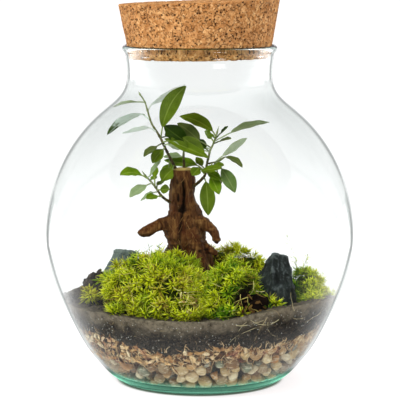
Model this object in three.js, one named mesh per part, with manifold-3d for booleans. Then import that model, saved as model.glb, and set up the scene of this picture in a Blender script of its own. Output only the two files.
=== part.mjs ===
// Glass plant terrarium: a round clear jar with a cork stopper, holding pebbles, bark, soil, moss,
// two slate stones and a small ficus. Millimetres, +Z up, -Y to the front. The origin is the centre
// of the underside of the jar's base.
import * as THREE from 'three';
import { mergeVertices } from 'three/addons/utils/BufferGeometryUtils.js';
import { ConvexGeometry } from 'three/addons/geometries/ConvexGeometry.js';
import Module from 'manifold-3d';

const wasm = await Module();
wasm.setup();

// ---- driving dimensions ----------------------------------------------------------------------

const FACETS = 36; // flat sides round the jar and round the layers that fill it
const GAP = 0.3; // clearance between pieces that touch
const LAYER_GAP = 0.5; // clearance between two wavy layers
const WALL = 2.1; // glass thickness of the body and neck
const FLOOR = 3.4; // glass thickness of the base
const RIM_TOP = 282; // height of the glass

// Outside of the jar from the edge of its flat base up to the neck: [radius, height].
const JAR_OUTLINE = [
  [64, 0], [67.5, 0.9], [72, 3.4], [79, 9], [86.8, 17.5], [95.2, 28], [102.8, 41], [110.5, 56],
  [117.7, 72], [123.6, 88], [127.7, 105], [129.6, 122], [129.4, 131], [127.6, 146.5],
  [123.8, 163.5], [117.2, 180], [108.6, 196], [97.4, 211.5], [84.8, 224.5], [72.4, 234.5],
  [65.2, 240.7], [61.2, 246.5], [60, 253.5], [60.5, 261], [61.4, 269], [62.2, 275],
];
const RIM_BEAD = [[64.1, 277.4], [64.6, 279.6], [64, 281.4], [63.2, RIM_TOP], [62.4, 281.2], [61.4, 278]];
const FLOOR_CORNER = [[58, FLOOR], [65, 4.1], [71, 6.6]]; // rounding between the floor and the wall

const CORK = { bottom: 271, top: 318.6, radiusBottom: 59, radiusTop: 67.7, bevel: 1, tilt: 0.6, slant: 1.5 };

const SOIL_HEAP = { x: -14, y: -4, rise: 24, spread: 36 };
const SOIL_CLODS = { x: -88, y: -8, rise: 11, spread: 8 };

const LEAF_THICKNESS = 0.8;
const PETIOLE_WIDTH = 1.3;

// ---- small helpers ---------------------------------------------------------------------------

const v = (x, y, z) => new THREE.Vector3(x, y, z);
const points = (list) => list.map(([x, y, z]) => v(x, y, z));
const bump = (x, y, { x: cx, y: cy, rise, spread }) =>
  rise * Math.exp(-((x - cx) ** 2 + (y - cy) ** 2) / (2 * spread ** 2));

const material = (color, roughness, metalness = 0) =>
  new THREE.MeshStandardMaterial({ color, roughness, metalness });

// Six times the volume inside a triangle mesh, positive when its faces point out.
function signedVolume(vertices, triangles) {
  let sum = 0;
  for (const [a, b, c] of triangles) {
    sum += vertices[a].dot(vertices[b].clone().cross(vertices[c]));
  }
  return sum;
}

function meshGeometry(vertices, triangles) {
  const outward = signedVolume(vertices, triangles) > 0;
  const index = triangles.flatMap(([a, b, c]) => (outward ? [a, b, c] : [a, c, b]));
  const coordinates = vertices.flatMap((p) => p.toArray());
  const geometry = new THREE.BufferGeometry();
  geometry.setAttribute('position', new THREE.Float32BufferAttribute(coordinates, 3));
  geometry.setIndex(index);
  return geometry;
}

// A closed skin over a row of rings, each with the same number of points, and one point at each end.
// Each cell is split along its shorter diagonal, so two skins over the same rings have the same facets.
function loft(start, rings, end) {
  const sides = rings[0].length;
  const vertices = [start, ...rings.flat(), end];
  const at = (ring, side) => 1 + ring * sides + (side % sides);
  const triangles = [];
  for (let side = 0; side < sides; side += 1) {
    triangles.push([0, at(0, side + 1), at(0, side)]);
    for (let ring = 0; ring + 1 < rings.length; ring += 1) {
      const [a, b] = [at(ring, side), at(ring, side + 1)];
      const [c, d] = [at(ring + 1, side + 1), at(ring + 1, side)];
      if (vertices[a].distanceTo(vertices[c]) <= vertices[b].distanceTo(vertices[d])) {
        triangles.push([a, b, c], [a, c, d]);
      } else {
        triangles.push([a, b, d], [b, c, d]);
      }
    }
    const last = rings.length - 1;
    triangles.push([vertices.length - 1, at(last, side), at(last, side + 1)]);
  }
  return meshGeometry(vertices, triangles);
}

function toSolid(geometry) {
  const bare = geometry.clone();
  bare.deleteAttribute('normal');
  bare.deleteAttribute('uv');
  const merged = mergeVertices(bare, 1e-4);
  return new wasm.Manifold(new wasm.Mesh({
    numProp: 3,
    vertProperties: new Float32Array(merged.attributes.position.array),
    triVerts: new Uint32Array(merged.index.array),
  }));
}

function toGeometry(solid) {
  const { vertProperties, triVerts } = solid.getMesh();
  const geometry = new THREE.BufferGeometry();
  geometry.setAttribute('position', new THREE.Float32BufferAttribute(vertProperties, 3));
  geometry.setIndex(new THREE.BufferAttribute(triVerts, 1));
  return geometry;
}

// ---- jar -------------------------------------------------------------------------------------

const flat = (list) => list.map(([r, z]) => new THREE.Vector2(r, z));
const outside = flat(JAR_OUTLINE);
const outsideCurve = new THREE.SplineCurve(outside);

// The inner wall is the outside moved in by the glass thickness, above the rounded floor corner.
function innerWall() {
  const wall = [];
  outside.forEach((point, i) => {
    const tangent = outsideCurve.getTangent(i / (outside.length - 1));
    const inner = new THREE.Vector2(point.x - WALL * tangent.y, point.y + WALL * tangent.x);
    if (inner.y > FLOOR_CORNER[2][1] + 3) {
      wall.push(inner);
    }
  });
  return wall;
}
const inside = [...flat(FLOOR_CORNER), ...innerWall()];

function innerRadius(height) {
  for (let i = 1; i < inside.length; i += 1) {
    const [low, high] = [inside[i - 1], inside[i]];
    if (height <= high.y) {
      return THREE.MathUtils.mapLinear(height, low.y, high.y, low.x, high.x);
    }
  }
  return inside[inside.length - 1].x;
}

function glassJar() {
  const axisLow = new THREE.Vector2(0, 0);
  const axisHigh = new THREE.Vector2(0, FLOOR);
  const profile = [axisLow, ...outside, ...flat(RIM_BEAD), ...inside.slice().reverse(), axisHigh];
  return new THREE.LatheGeometry(profile, FACETS).rotateX(Math.PI / 2);
}

// ---- cork stopper ----------------------------------------------------------------------------

// A tapered plug whose top was cut a little off square, so it is thicker on one side.
function corkStopper() {
  const { bottom, top, radiusBottom, radiusTop, bevel, slant } = CORK;
  const height = top - bottom;
  const profile = flat([
    [0, 0], [radiusBottom - bevel, 0], [radiusBottom, bevel],
    [radiusTop - 0.2, height - bevel], [radiusTop - bevel, height], [0, height],
  ]);
  const geometry = new THREE.LatheGeometry(profile, FACETS).rotateX(Math.PI / 2);
  const position = geometry.attributes.position;
  const slope = Math.tan(THREE.MathUtils.degToRad(slant));
  for (let i = 0; i < position.count; i += 1) {
    const raised = slope * position.getX(i) * (position.getZ(i) / height);
    position.setZ(i, position.getZ(i) + raised);
  }
  return geometry;
}

// ---- pebbles, bark and soil ------------------------------------------------------------------

const pebbleTop = (x, y) => 32 + 4 * (x / 80) + 1.6 * Math.sin(x / 13) * Math.cos(y / 15);
const barkTop = (x, y) => 45 + 7 * (x / 90) ** 2 + 2.4 * Math.sin(x / 16 + 1) + 1.2 * Math.cos(y / 14);
const soilTop = (x, y) =>
  67 + bump(x, y, SOIL_HEAP) + bump(x, y, SOIL_CLODS) + 0.9 * Math.sin(x / 11) * Math.cos(y / 12);

// Distance from the axis at which a wavy surface meets the inner wall.
function reach(surface, angle) {
  let radius = innerRadius(surface(0, 0));
  for (let pass = 0; pass < 12; pass += 1) {
    radius = innerRadius(surface(radius * Math.cos(angle), radius * Math.sin(angle))) - LAYER_GAP;
  }
  return radius;
}

function surfaceRing(surface, share, lift = 0) {
  const ring = [];
  for (let side = 0; side < FACETS; side += 1) {
    const angle = (side / FACETS) * 2 * Math.PI;
    const radius = share * reach(surface, angle);
    const [x, y] = [radius * Math.cos(angle), radius * Math.sin(angle)];
    ring.push(v(x, y, surface(x, y) + lift));
  }
  return ring;
}

// Two layers share the rings of the surface between them, so they meet facet to facet.
const LOWER_RINGS = [0.33, 0.66, 1];
const SOIL_RINGS = [0.2, 0.4, 0.6, 0.8, 1];

// The filling between two surfaces, out to the wall, with one more ring half way up its side.
function layer(below, above, ringsAbove) {
  const bottom = LOWER_RINGS.map((share) => surfaceRing(below, share, LAYER_GAP));
  const middle = surfaceRing((x, y) => (below(x, y) + above(x, y)) / 2, 1);
  const top = ringsAbove.map((share) => surfaceRing(above, share)).reverse();
  return loft(v(0, 0, below(0, 0) + LAYER_GAP), [...bottom, middle, ...top], v(0, 0, above(0, 0)));
}

// The pebbles lie on the jar's floor and in its rounded corner.
function pebbleLayer() {
  const floor = FLOOR + LAYER_GAP;
  const foot = [0.5, 1].map((share) => surfaceRing(() => floor, share * (58 / innerRadius(floor))));
  const corner = surfaceRing(() => FLOOR_CORNER[2][1] + LAYER_GAP, 1);
  const middle = surfaceRing(() => 22, 1);
  const top = LOWER_RINGS.map((share) => surfaceRing(pebbleTop, share)).reverse();
  return loft(v(0, 0, floor), [...foot, corner, middle, ...top], v(0, 0, pebbleTop(0, 0)));
}

const barkLayer = () => layer(pebbleTop, barkTop, LOWER_RINGS);
const soilBed = () => layer(barkTop, soilTop, SOIL_RINGS);

// ---- things that stand on the soil -----------------------------------------------------------

// What the soil leaves of a solid that is sunk into it, clear of it by the gap.
const soilRaised = toSolid(soilBed().translate(0, 0, GAP));
const cutBySoil = (geometry) => toGeometry(toSolid(geometry).subtract(soilRaised));

const SINK = 6; // how far each foot is drawn below the soil's surface before it is cut

// A cushion of moss over a closed outline on the soil: [x, y] corners, and its highest point.
function mossCushion(outline, [cx, cy, cz], sides) {
  const edge = new THREE.CatmullRomCurve3(outline.map(([x, y]) => v(x, y, 0)), true).getPoints(sides);
  edge.pop();
  const shell = (share, lift) => edge.map((point) => {
    const x = THREE.MathUtils.lerp(cx, point.x, share);
    const y = THREE.MathUtils.lerp(cy, point.y, share);
    const ground = soilTop(x, y);
    return v(x, y, ground + lift * (cz - ground));
  });
  const foot = edge.map((point) => v(point.x, point.y, soilTop(point.x, point.y) - SINK));
  const rings = [foot, shell(1, 0.16), shell(0.88, 0.5), shell(0.66, 0.8), shell(0.36, 0.96)];
  return cutBySoil(loft(v(cx, cy, soilTop(cx, cy) - SINK), rings, v(cx, cy, cz)));
}

const MOSS = {
  moss_mound_left: {
    outline: [[-84, -22], [-80, -42], [-76, -62], [-64, -84], [-44, -99], [-20, -107], [-3, -101],
      [-1, -72], [-7, -46], [-14, -32], [-30, -22], [-58, -10]],
    crown: [-38, -42, 118],
    sides: 22,
  },
  moss_mound_right: {
    outline: [[5, -101], [26, -106], [44, -97], [56, -80], [55, -62], [44, -46], [38, -30],
      [26, -22], [16, -30], [9, -44], [4, -70]],
    crown: [27, -52, 109],
    sides: 20,
  },
  moss_back: {
    outline: [[-46, 36], [-22, 36], [0, 38], [20, 28], [38, 12], [58, 12], [66, 32], [54, 58],
      [22, 82], [-22, 84], [-50, 64]],
    crown: [28, 38, 105],
    sides: 20,
  },
  moss_far_right: {
    outline: [[74, -12], [87, -26], [100, -22], [107, 0], [101, 26], [86, 34], [74, 22]],
    crown: [90, 2, 95],
    sides: 14,
  },
  moss_tuft_left: {
    outline: [[-82.5, -45], [-87, -52.5], [-94, -51], [-96, -43], [-90, -37.5], [-84, -39]],
    crown: [-89, -46, 83],
    sides: 10,
  },
};

const SLATES = {
  slate_rock_right: [
    [48, -28, 64], [59, -53, 64], [77, -51, 64], [81, -30, 64], [66, -18, 64], [46.5, -29, 94],
    [59.5, -35, 112], [73, -32, 109.5], [68, -24, 104], [77.5, -46, 86], [60, -49, 84],
  ],
  slate_rock_left: [
    [-90, 10, 62], [-85, 29, 62], [-58, 34, 62], [-46, 24, 62], [-50, 8, 62], [-72, 4, 62],
    [-83, 14, 86], [-71.5, 18, 107.5], [-65, 15, 105], [-54, 20, 104.5], [-60, 27, 100],
  ],
};
const slateRock = (corners) => cutBySoil(new ConvexGeometry(points(corners)));

// ---- ficus trunk and stems -------------------------------------------------------------------

// A limb of round or oval section: [x, y, z, half width, half depth] from its root to its end.
function limb(stations, sides, spare = 0) {
  const path = new THREE.CatmullRomCurve3(points(stations));
  const rings = stations.map(([, , , wide, deep = wide], i) => {
    const centre = path.getPoint(i / (stations.length - 1));
    const tangent = path.getTangent(i / (stations.length - 1));
    const across = v(0, 1, 0).cross(tangent).normalize();
    const depth = tangent.clone().cross(across);
    const ring = [];
    for (let side = 0; side < sides; side += 1) {
      const angle = (side / sides) * 2 * Math.PI;
      const ridge = 1 + 0.06 * Math.sin(3 * angle + 1.7 * i);
      ring.push(centre.clone()
        .addScaledVector(across, (wide * ridge + spare) * Math.cos(angle))
        .addScaledVector(depth, (deep * ridge + spare) * Math.sin(angle)));
    }
    return ring;
  });
  const cap = (i) => path.getPoint(i).addScaledVector(path.getTangent(i), i === 0 ? -spare : 0.6 + spare);
  return loft(cap(0), rings, cap(1));
}

const TRUNK_LIMBS = [
  // the swollen body, from the foot hidden in the moss up to the flat cut at the top
  [[-9, 4, 76, 13, 12], [-9, 3, 92, 12.5, 12], [-8.2, 1, 104, 12.5, 12], [-8.4, 0, 111, 13.5, 13],
    [-10.3, 0, 117, 15.6, 13.5], [-12, 0, 123, 17.3, 14], [-12.8, 0, 129, 18, 14],
    [-12.4, 0, 135, 16.8, 13], [-12.6, 0, 141, 14.6, 12], [-13.9, 0, 147, 11.7, 10],
    [-14.8, 0, 155, 10.2, 9], [-14.5, 0, 163, 10.6, 9], [-14.5, 0, 171, 10, 8.6], [-15, 0, 178.6, 8.4, 7.4]],
  // front root between the two mounds
  [[-6, -4, 118, 8], [-1, -9, 108, 8], [1.5, -14, 98, 6], [2, -18, 88, 4], [2, -20, 78, 3]],
  // roots at the back
  [[-18, 5, 114, 8], [-26, 13, 100, 6], [-31, 18, 88, 4.5], [-33, 20, 76, 4]],
  [[-2, 6, 114, 8], [5, 14, 100, 6], [9, 19, 88, 4.5], [11, 21, 76, 4]],
  // arm reaching left, and arm bending down on the right
  [[-20, -4, 134, 7], [-29, -6, 133, 5.6], [-37, -9, 130.5, 4.6], [-43.5, -12, 127.5, 4.8],
    [-48, -13, 126, 4.2], [-51, -13.5, 125.5, 2.4]],
  [[-3, -4, 134, 7], [4, -6, 132.5, 5.6], [9.5, -9, 129, 4.2], [13, -11, 124, 3.8],
    [14.3, -12, 119.5, 3], [14.6, -12, 117, 1.6]],
  // short root under the right arm
  [[0, -6, 114, 5], [7, -10, 112, 3.8], [12, -12.5, 109.5, 3], [14, -14, 107.5, 1.6]],
];
const TRUNK_SIDES = 10;
const ROOM_FOR_TRUNK = 0.9; // what the moss keeps clear of the bark

function trunkSolid(spare) {
  const limbs = TRUNK_LIMBS.map((stations) => toSolid(limb(stations, TRUNK_SIDES, spare)));
  return limbs.reduce((whole, part) => whole.add(part));
}
const ficusTrunk = () => toGeometry(trunkSolid(0).subtract(soilRaised));

// Stems as [x, y, z] from the trunk outwards, with the thickness at both ends.
const STEMS = {
  left: {
    path: [[-20.5, -2, 179.3], [-25, -4, 188.5], [-30, -6, 199], [-33.5, -7, 206.5], [-40, -4, 216.5],
      [-44, 0, 228], [-47.5, 4, 236.5], [-50, 5, 239.5]],
    thick: [3.4, 1.6],
  },
  middle: { path: [[-13, 0, 179.6], [-13.5, -1, 190], [-13, -2, 198]], thick: [3.2, 2] },
  lower: {
    path: [[-24.9, -4.2, 150.6], [-28.6, -6, 153.3], [-32.5, -8, 157], [-35.5, -8, 161.5], [-38.5, -7, 165.5],
      [-42, -6, 169.5], [-44.5, -6, 172]],
    thick: [3.4, 1.8],
  },
  right: {
    path: [[-4.8, -5, 164.3], [0.4, -8, 169], [4.5, -10.5, 174.5], [6, -11, 183.5], [7.5, -10, 189.5],
      [8.5, -9, 194], [11, -9, 199.5], [14, -10, 208]],
    thick: [3.6, 1.6],
  },
  twig: { path: [[7.7, -12.4, 184], [11, -14, 185], [15, -15, 186]], thick: [2.2, 1.4] },
};
const STEM_SIDES = 6;

function stemThickness({ thick }, share) {
  return THREE.MathUtils.lerp(thick[0], thick[1], share);
}

function stemGeometry(stem) {
  const path = new THREE.CatmullRomCurve3(points(stem.path));
  const steps = stem.path.length + 2;
  const stations = path.getSpacedPoints(steps).map((point, i) => {
    return [...point.toArray(), stemThickness(stem, i / steps) / 2];
  });
  return limb(stations, STEM_SIDES);
}

// ---- leaves ----------------------------------------------------------------------------------

// Each leaf: where its stalk leaves the stem (0 to 1 along it), blade base, blade tip, width, how
// far its upper face turns from the front towards the sky in degrees (past 90 it shows its
// underside to the front), and how far it arches.
const LEAVES = {
  left: [
    [0.89, [-52, 0, 234], [-72, -8, 230], 8, 82, 2.6],
    [0.68, [-48, 4, 224], [-79, 22, 205], 10, 124, 4],
    [0.52, [-42, -9, 214], [-64, -22, 210], 11, 119, 1],
    [0.43, [-31, -12, 214], [-11, -20, 249], 14.5, 9, 3.5],
    [0.79, [-41, 4, 231], [-12, 10, 248], 9.5, 132, -0.5],
    [0.41, [-29, 4, 205], [-10, 16, 207], 13, 39, 3.4],
    [0.32, [-27, -12, 200], [-14, -20, 197], 9, 147, 1],
    [0.04, [-22.5, -12, 179], [-31, -20, 170], 12, 24, 1.5],
    [0.1, [-26.5, -3, 174], [-33, 1, 165], 7, 53, 1],
    [0.35, [-35, -14, 199], [-46, -26, 191], 8, 68, 1.5],
    [0.29, [-30, -14, 196], [-39, -20, 185], 10, 32, 1.2],
  ],
  middle: [
    [0.9, [-11, -6, 196], [-4, -14, 192], 7, 57, 0.6],
    [0.5, [-16, 6, 188], [-31, 16, 187], 9, 55, 1],
  ],
  lower: [
    [0.98, [-42, -10, 173], [-32, -16, 187], 9, 62, 1.4],
    [0.69, [-38, 0, 171], [-37, 8, 180], 6, 69, 0.8],
    [0.97, [-48, -10, 174], [-66, -20, 175], 11, 50, 3.4],
    [0.78, [-44, -12, 166], [-58, -22, 157], 10, 56, 1.5],
    [0.88, [-41, 0, 169], [-36, 8, 171], 5, 53, 0.6],
    [0.52, [-33, -13, 162], [-25, -19, 163], 8, 19, 0.6],
    [0.58, [-36, 2, 164], [-31, 8, 167], 5, 59, 0.5],
    [0.48, [-39, 2, 158], [-50, 10, 150], 7, 53, 1],
    [0.34, [-35, -14, 157], [-44, -26, 156], 8, 42, 1.2],
  ],
  right: [
    [0.76, [0, -2, 202], [-19, 6, 216], 12, 45, 1.7],
    [0.97, [11, -2, 210], [-17, 10, 221], 12, 45, 3.7],
    [0.73, [-1, 8, 198], [-11, 20, 206], 8, 129, 0.8],
    [0.58, [4, -16, 190], [-14, -24, 207], 13, 32, 1],
    [0.35, [-2, 4, 181], [-30, 14, 184], 13, 54, 1],
    [0.88, [10, -16, 205], [4, -24, 212], 7, 32, 0.8],
    [0.94, [17, -15, 209.5], [23.5, -18, 215.5], 6, 65, 0.6],
    [0.9, [26, -7, 209.5], [59, 8, 217], 12, 72, 2.6],
    [0.85, [16, -16, 203], [26, -26, 206], 6, 55, 1],
    [0.37, [8, -18, 181], [20, -28, 184], 9, 55, 1.2],
    [0.32, [0, -18, 181], [-6, -24, 175], 9, 32, 0.8],
    [0.38, [2, -4, 181], [-3, 2, 188], 7, 57, 0.6],
    [0.26, [5, -19, 170], [7, -24, 142], 13, 32, 1.4],
  ],
  twig: [
    [0.88, [19, -12, 190.5], [40, 2, 204], 8.5, 150, 0.5],
    [0.98, [21, -24, 191], [35, -34, 183], 8, 71, 2.5],
    [0.78, [13, -3, 178], [1, 4, 175.5], 8, 50, 1],
    [0.33, [9, -19, 174], [16, -28, 160], 10, 40, 1],
    [0.61, [15, -6, 176], [18, 3, 165], 8, 58, 1],
    [0.93, [18, -22, 181], [29, -32, 162], 11.5, 36, 1.2],
  ],
};

// Blade outline: share of the blade's length from its base, and share of the full width there.
const BLADE = [[0.1, 0.36], [0.28, 0.82], [0.5, 1], [0.7, 0.84], [0.86, 0.46]];
const FOLD = 0.16; // how deep the blade folds along its midrib, against its width

// The stalk leaves the stem's skin towards the blade.
function stalkStart(stem, share, towards) {
  const path = new THREE.CatmullRomCurve3(points(stem.path));
  const centre = path.getPointAt(share);
  const out = towards.clone().sub(centre);
  const tangent = path.getTangentAt(share);
  out.addScaledVector(tangent, -out.dot(tangent)).normalize();
  return centre.addScaledVector(out, stemThickness(stem, share) / 2 + GAP);
}

function leafGeometry(stem, [share, baseAt, tipAt, width, face, arch]) {
  const [base, tip] = points([baseAt, tipAt]);
  const chord = tip.clone().sub(base);
  const rise = v(0, 0, 1).addScaledVector(chord, -chord.z / chord.lengthSq()).normalize();
  const middle = base.clone().lerp(tip, 0.5).addScaledVector(rise, arch);
  const start = stalkStart(stem, share, base);
  const stalk = new THREE.LineCurve3(start, base);
  const blade = new THREE.QuadraticBezierCurve3(base, middle.multiplyScalar(2)
    .addScaledVector(base, -0.5).addScaledVector(tip, -0.5), tip);
  const turn = THREE.MathUtils.degToRad(face);
  const upper = v(0, -Math.cos(turn), Math.sin(turn));
  const section = (curve, at, wide, fold) => {
    const centre = curve.getPoint(at);
    const across = curve.getTangent(at).cross(upper).normalize();
    const up = across.clone().cross(curve.getTangent(at)).normalize();
    const sunk = centre.clone().addScaledVector(up, -fold * wide);
    return [
      centre.clone().addScaledVector(across, wide / 2),
      sunk.clone().addScaledVector(up, LEAF_THICKNESS / 2),
      centre.clone().addScaledVector(across, -wide / 2),
      sunk.clone().addScaledVector(up, -LEAF_THICKNESS / 2),
    ];
  };
  const rings = [
    section(stalk, 0.15, PETIOLE_WIDTH, 0),
    section(stalk, 0.95, PETIOLE_WIDTH, 0),
    ...BLADE.map(([at, wide]) => section(blade, at, wide * width, FOLD)),
  ];
  return loft(start, rings, tip);
}

// ---- the whole object ------------------------------------------------------------------------

const terrarium = new THREE.Group();

function add(name, geometry, look) {
  const mesh = new THREE.Mesh(geometry, look);
  mesh.name = name;
  terrarium.add(mesh);
  return mesh;
}

const glass = material(0xdfeee6, 0.05);
glass.transparent = true;
glass.opacity = 0.3;
add('glass_jar', glassJar(), glass);

const cork = add('cork_stopper', corkStopper(), material(0xc8965f, 0.85));
cork.position.z = CORK.bottom;
cork.rotation.y = -THREE.MathUtils.degToRad(CORK.tilt);

add('pebble_layer', pebbleLayer(), material(0xb09a78, 0.6));
add('bark_layer', barkLayer(), material(0x8a6038, 0.95));
add('soil_bed', soilBed(), material(0x3c3732, 1));

const moss = material(0x6f9320, 0.9);
const slate = material(0x373c3d, 0.7);
const room = trunkSolid(ROOM_FOR_TRUNK);
for (const [name, { outline, crown, sides }] of Object.entries(MOSS)) {
  const cushion = mossCushion(outline, crown, sides);
  add(name, toGeometry(toSolid(cushion).subtract(room)), moss);
}
for (const [name, corners] of Object.entries(SLATES)) {
  add(name, slateRock(corners), slate);
}

add('ficus_trunk', ficusTrunk(), material(0x6b4828, 0.85));
const woody = material(0x6e5a35, 0.7);
const green = material(0x5d8420, 0.45);
for (const [place, stem] of Object.entries(STEMS)) {
  add(`ficus_stem_${place}`, stemGeometry(stem), woody);
  LEAVES[place].forEach((leaf, i) => add(`leaf_${place}_${i + 1}`, leafGeometry(stem, leaf), green));
}

export default terrarium;
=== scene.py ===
import math

import bpy
import numpy as np
from mathutils.bvhtree import BVHTree
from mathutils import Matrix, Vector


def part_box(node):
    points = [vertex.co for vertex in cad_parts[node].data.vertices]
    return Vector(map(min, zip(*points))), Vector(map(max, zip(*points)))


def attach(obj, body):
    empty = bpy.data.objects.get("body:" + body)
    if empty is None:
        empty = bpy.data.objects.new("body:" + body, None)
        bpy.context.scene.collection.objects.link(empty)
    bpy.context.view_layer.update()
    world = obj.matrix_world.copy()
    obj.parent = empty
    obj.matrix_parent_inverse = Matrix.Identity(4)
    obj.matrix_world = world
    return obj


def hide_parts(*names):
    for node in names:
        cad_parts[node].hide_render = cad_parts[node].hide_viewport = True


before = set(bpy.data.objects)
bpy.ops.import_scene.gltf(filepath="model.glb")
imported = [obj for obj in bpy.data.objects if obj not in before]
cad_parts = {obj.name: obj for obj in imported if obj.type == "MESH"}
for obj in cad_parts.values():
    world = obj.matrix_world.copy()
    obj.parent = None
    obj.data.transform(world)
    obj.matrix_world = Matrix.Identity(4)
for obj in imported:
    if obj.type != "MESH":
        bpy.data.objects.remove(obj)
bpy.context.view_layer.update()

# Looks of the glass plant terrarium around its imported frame: metres, +Z up, -Y to the front.

MM = 0.001
TURN = 2 * math.pi
UP = np.array([0.0, 0.0, 1.0])
HIGH, IN_FRONT = 0.3, 0.2  # rays start above all the layers, or in front of the jar
COLUMNS = 420  # points round the cork and round each layer
ANGLE = np.arange(COLUMNS) / COLUMNS * TURN
RAY = np.column_stack([np.cos(ANGLE), np.sin(ANGLE)])
# What the glass mirrors of the room and of the floor, by how far back a direction points: dark in
# front, bright beside the jar, a dark edge, then the backdrop. Each is a range and what it adds at
# its two ends.
ROOM = ((-0.5, 0.3, 0.02, 0.85), (0.88, 0.93, 0.0, -0.4), (0.965, 0.99, 0.0, 0.6))
FLOOR = ((-0.5, 0.3, 0.02, 0.85), (0.80, 0.86, 0.0, -0.45), (0.89, 0.94, 0.0, 0.6))

# ---- numbers and points ----------------------------------------------------------------------


def draws(seed):
    return np.random.default_rng(seed)


def unit(vectors):
    return vectors / np.maximum(np.linalg.norm(vectors, axis=-1, keepdims=True), 1e-12)


def smoothstep(low, high, values):
    t = np.clip((values - low) / (high - low), 0, 1)
    return t * t * (3 - 2 * t)


def noise(points, size, seed=0):
    """Smooth random values from -1 to 1 at points, with features of this size."""
    scaled = points / size
    cell = np.floor(scaled).astype(np.int64)
    t = scaled - cell
    t = t * t * (3 - 2 * t)
    total = np.zeros(len(points))
    for corner in np.ndindex(2, 2, 2):
        c = cell + corner
        h = c[:, 0] * 73856093 ^ c[:, 1] * 19349663 ^ c[:, 2] * 83492791 ^ (seed * 2654435761)
        h = h & 0xFFFFFFFF
        h = ((h ^ (h >> 13)) * 1274126177) & 0xFFFFFFFF
        h = (h ^ (h >> 16)) & 0xFFFFFF
        total += np.prod(np.where(corner, t, 1 - t), axis=1) * (h / 0x7FFFFF - 1)
    return total


def fbm(points, size, octaves=4, seed=0):
    size = np.asarray(size, float)
    return sum(noise(points, size / 2**k, seed + k) * 0.5**k for k in range(octaves))


def turned(count, random):
    """Random rotations, as matrices."""
    q = unit(random.normal(size=(count, 4)))
    w, x, y, z = q.T
    return np.stack([
        np.stack([1 - 2 * (y * y + z * z), 2 * (x * y - z * w), 2 * (x * z + y * w)], 1),
        np.stack([2 * (x * y + z * w), 1 - 2 * (x * x + z * z), 2 * (y * z - x * w)], 1),
        np.stack([2 * (x * z - y * w), 2 * (y * z + x * w), 1 - 2 * (x * x + y * y)], 1)], 1)


def framed(axis):
    """Two unit vectors square to each axis and to each other."""
    other = np.where(np.abs(axis[:, 2:3]) < 0.9, UP, np.array([1.0, 0.0, 0.0]))
    first = unit(np.cross(axis, other))
    return first, np.cross(axis, first)


def polar(radius, angle):
    """Flat points at a radius and an angle."""
    return np.column_stack([radius * np.cos(angle), radius * np.sin(angle)])


def along_curve(points, count):
    """Points of one smooth curve through these, evenly spaced in its parameter."""
    points = np.asarray(points, float)
    padded = np.concatenate([[2 * points[0] - points[1]], points, [2 * points[-1] - points[-2]]])
    at = np.linspace(0, len(points) - 1 - 1e-9, count)
    k = at.astype(int)
    t = (at - k)[:, None]
    a, b, c, d = (padded[k + i] for i in range(4))
    return 0.5 * (2 * b + (c - a) * t + (2 * a - 5 * b + 4 * c - d) * t**2 + (3 * b - a - 3 * c + d) * t**3)


# ---- meshes ----------------------------------------------------------------------------------


def skin(start, rings, end):
    """A closed skin over rings of equal length, with one point at each end: corners, [quads, triangles]."""
    rows, sides = rings.shape[:2]
    corners = np.concatenate([[start], rings.reshape(-1, 3), [end]])
    i = np.arange(sides)
    j = (i + 1) % sides
    low = 1 + np.arange(rows - 1)[:, None] * sides
    quads = np.stack([low + i, low + j, low + sides + j, low + sides + i], -1).reshape(-1, 4)
    last = 1 + (rows - 1) * sides
    caps = np.concatenate([
        np.stack([np.zeros_like(i), 1 + j, 1 + i], -1),
        np.stack([np.full_like(i, len(corners) - 1), last + i, last + j], -1)])
    return corners, [quads, caps]


def tube(path, radii, sides):
    """A closed round tube along a path, with tips that stand out by their radius."""
    path = np.asarray(path, float)
    radii = np.broadcast_to(radii, len(path))
    tangent = unit(np.gradient(path, axis=0))
    first = [framed(tangent[:1])[0][0]]
    for t in tangent[1:]:
        across = first[-1] - t * (first[-1] @ t)
        first.append(across / np.linalg.norm(across))
    first = np.array(first)
    second = np.cross(tangent, first)
    angle = np.arange(sides) / sides * TURN
    rings = path[:, None] + radii[:, None, None] * (
        first[:, None] * np.cos(angle)[:, None] + second[:, None] * np.sin(angle)[:, None])
    return skin(path[0] - tangent[0] * radii[0], rings, path[-1] + tangent[-1] * radii[-1])


def joined(parts):
    """Several (corners, [faces, ...], {attribute: values}) as one."""
    corners, faces, attributes, base = [], {3: [], 4: []}, {}, 0
    for part in parts:
        corners.append(part[0])
        for group in part[1]:
            faces[group.shape[1]].append(group + base)
        for key, values in (part[2] if len(part) > 2 else {}).items():
            attributes.setdefault(key, []).append(np.broadcast_to(values, len(part[0])))
        base += len(part[0])
    return (np.concatenate(corners), [np.concatenate(f) for f in faces.values() if f],
            {key: np.concatenate(values) for key, values in attributes.items()})


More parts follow.
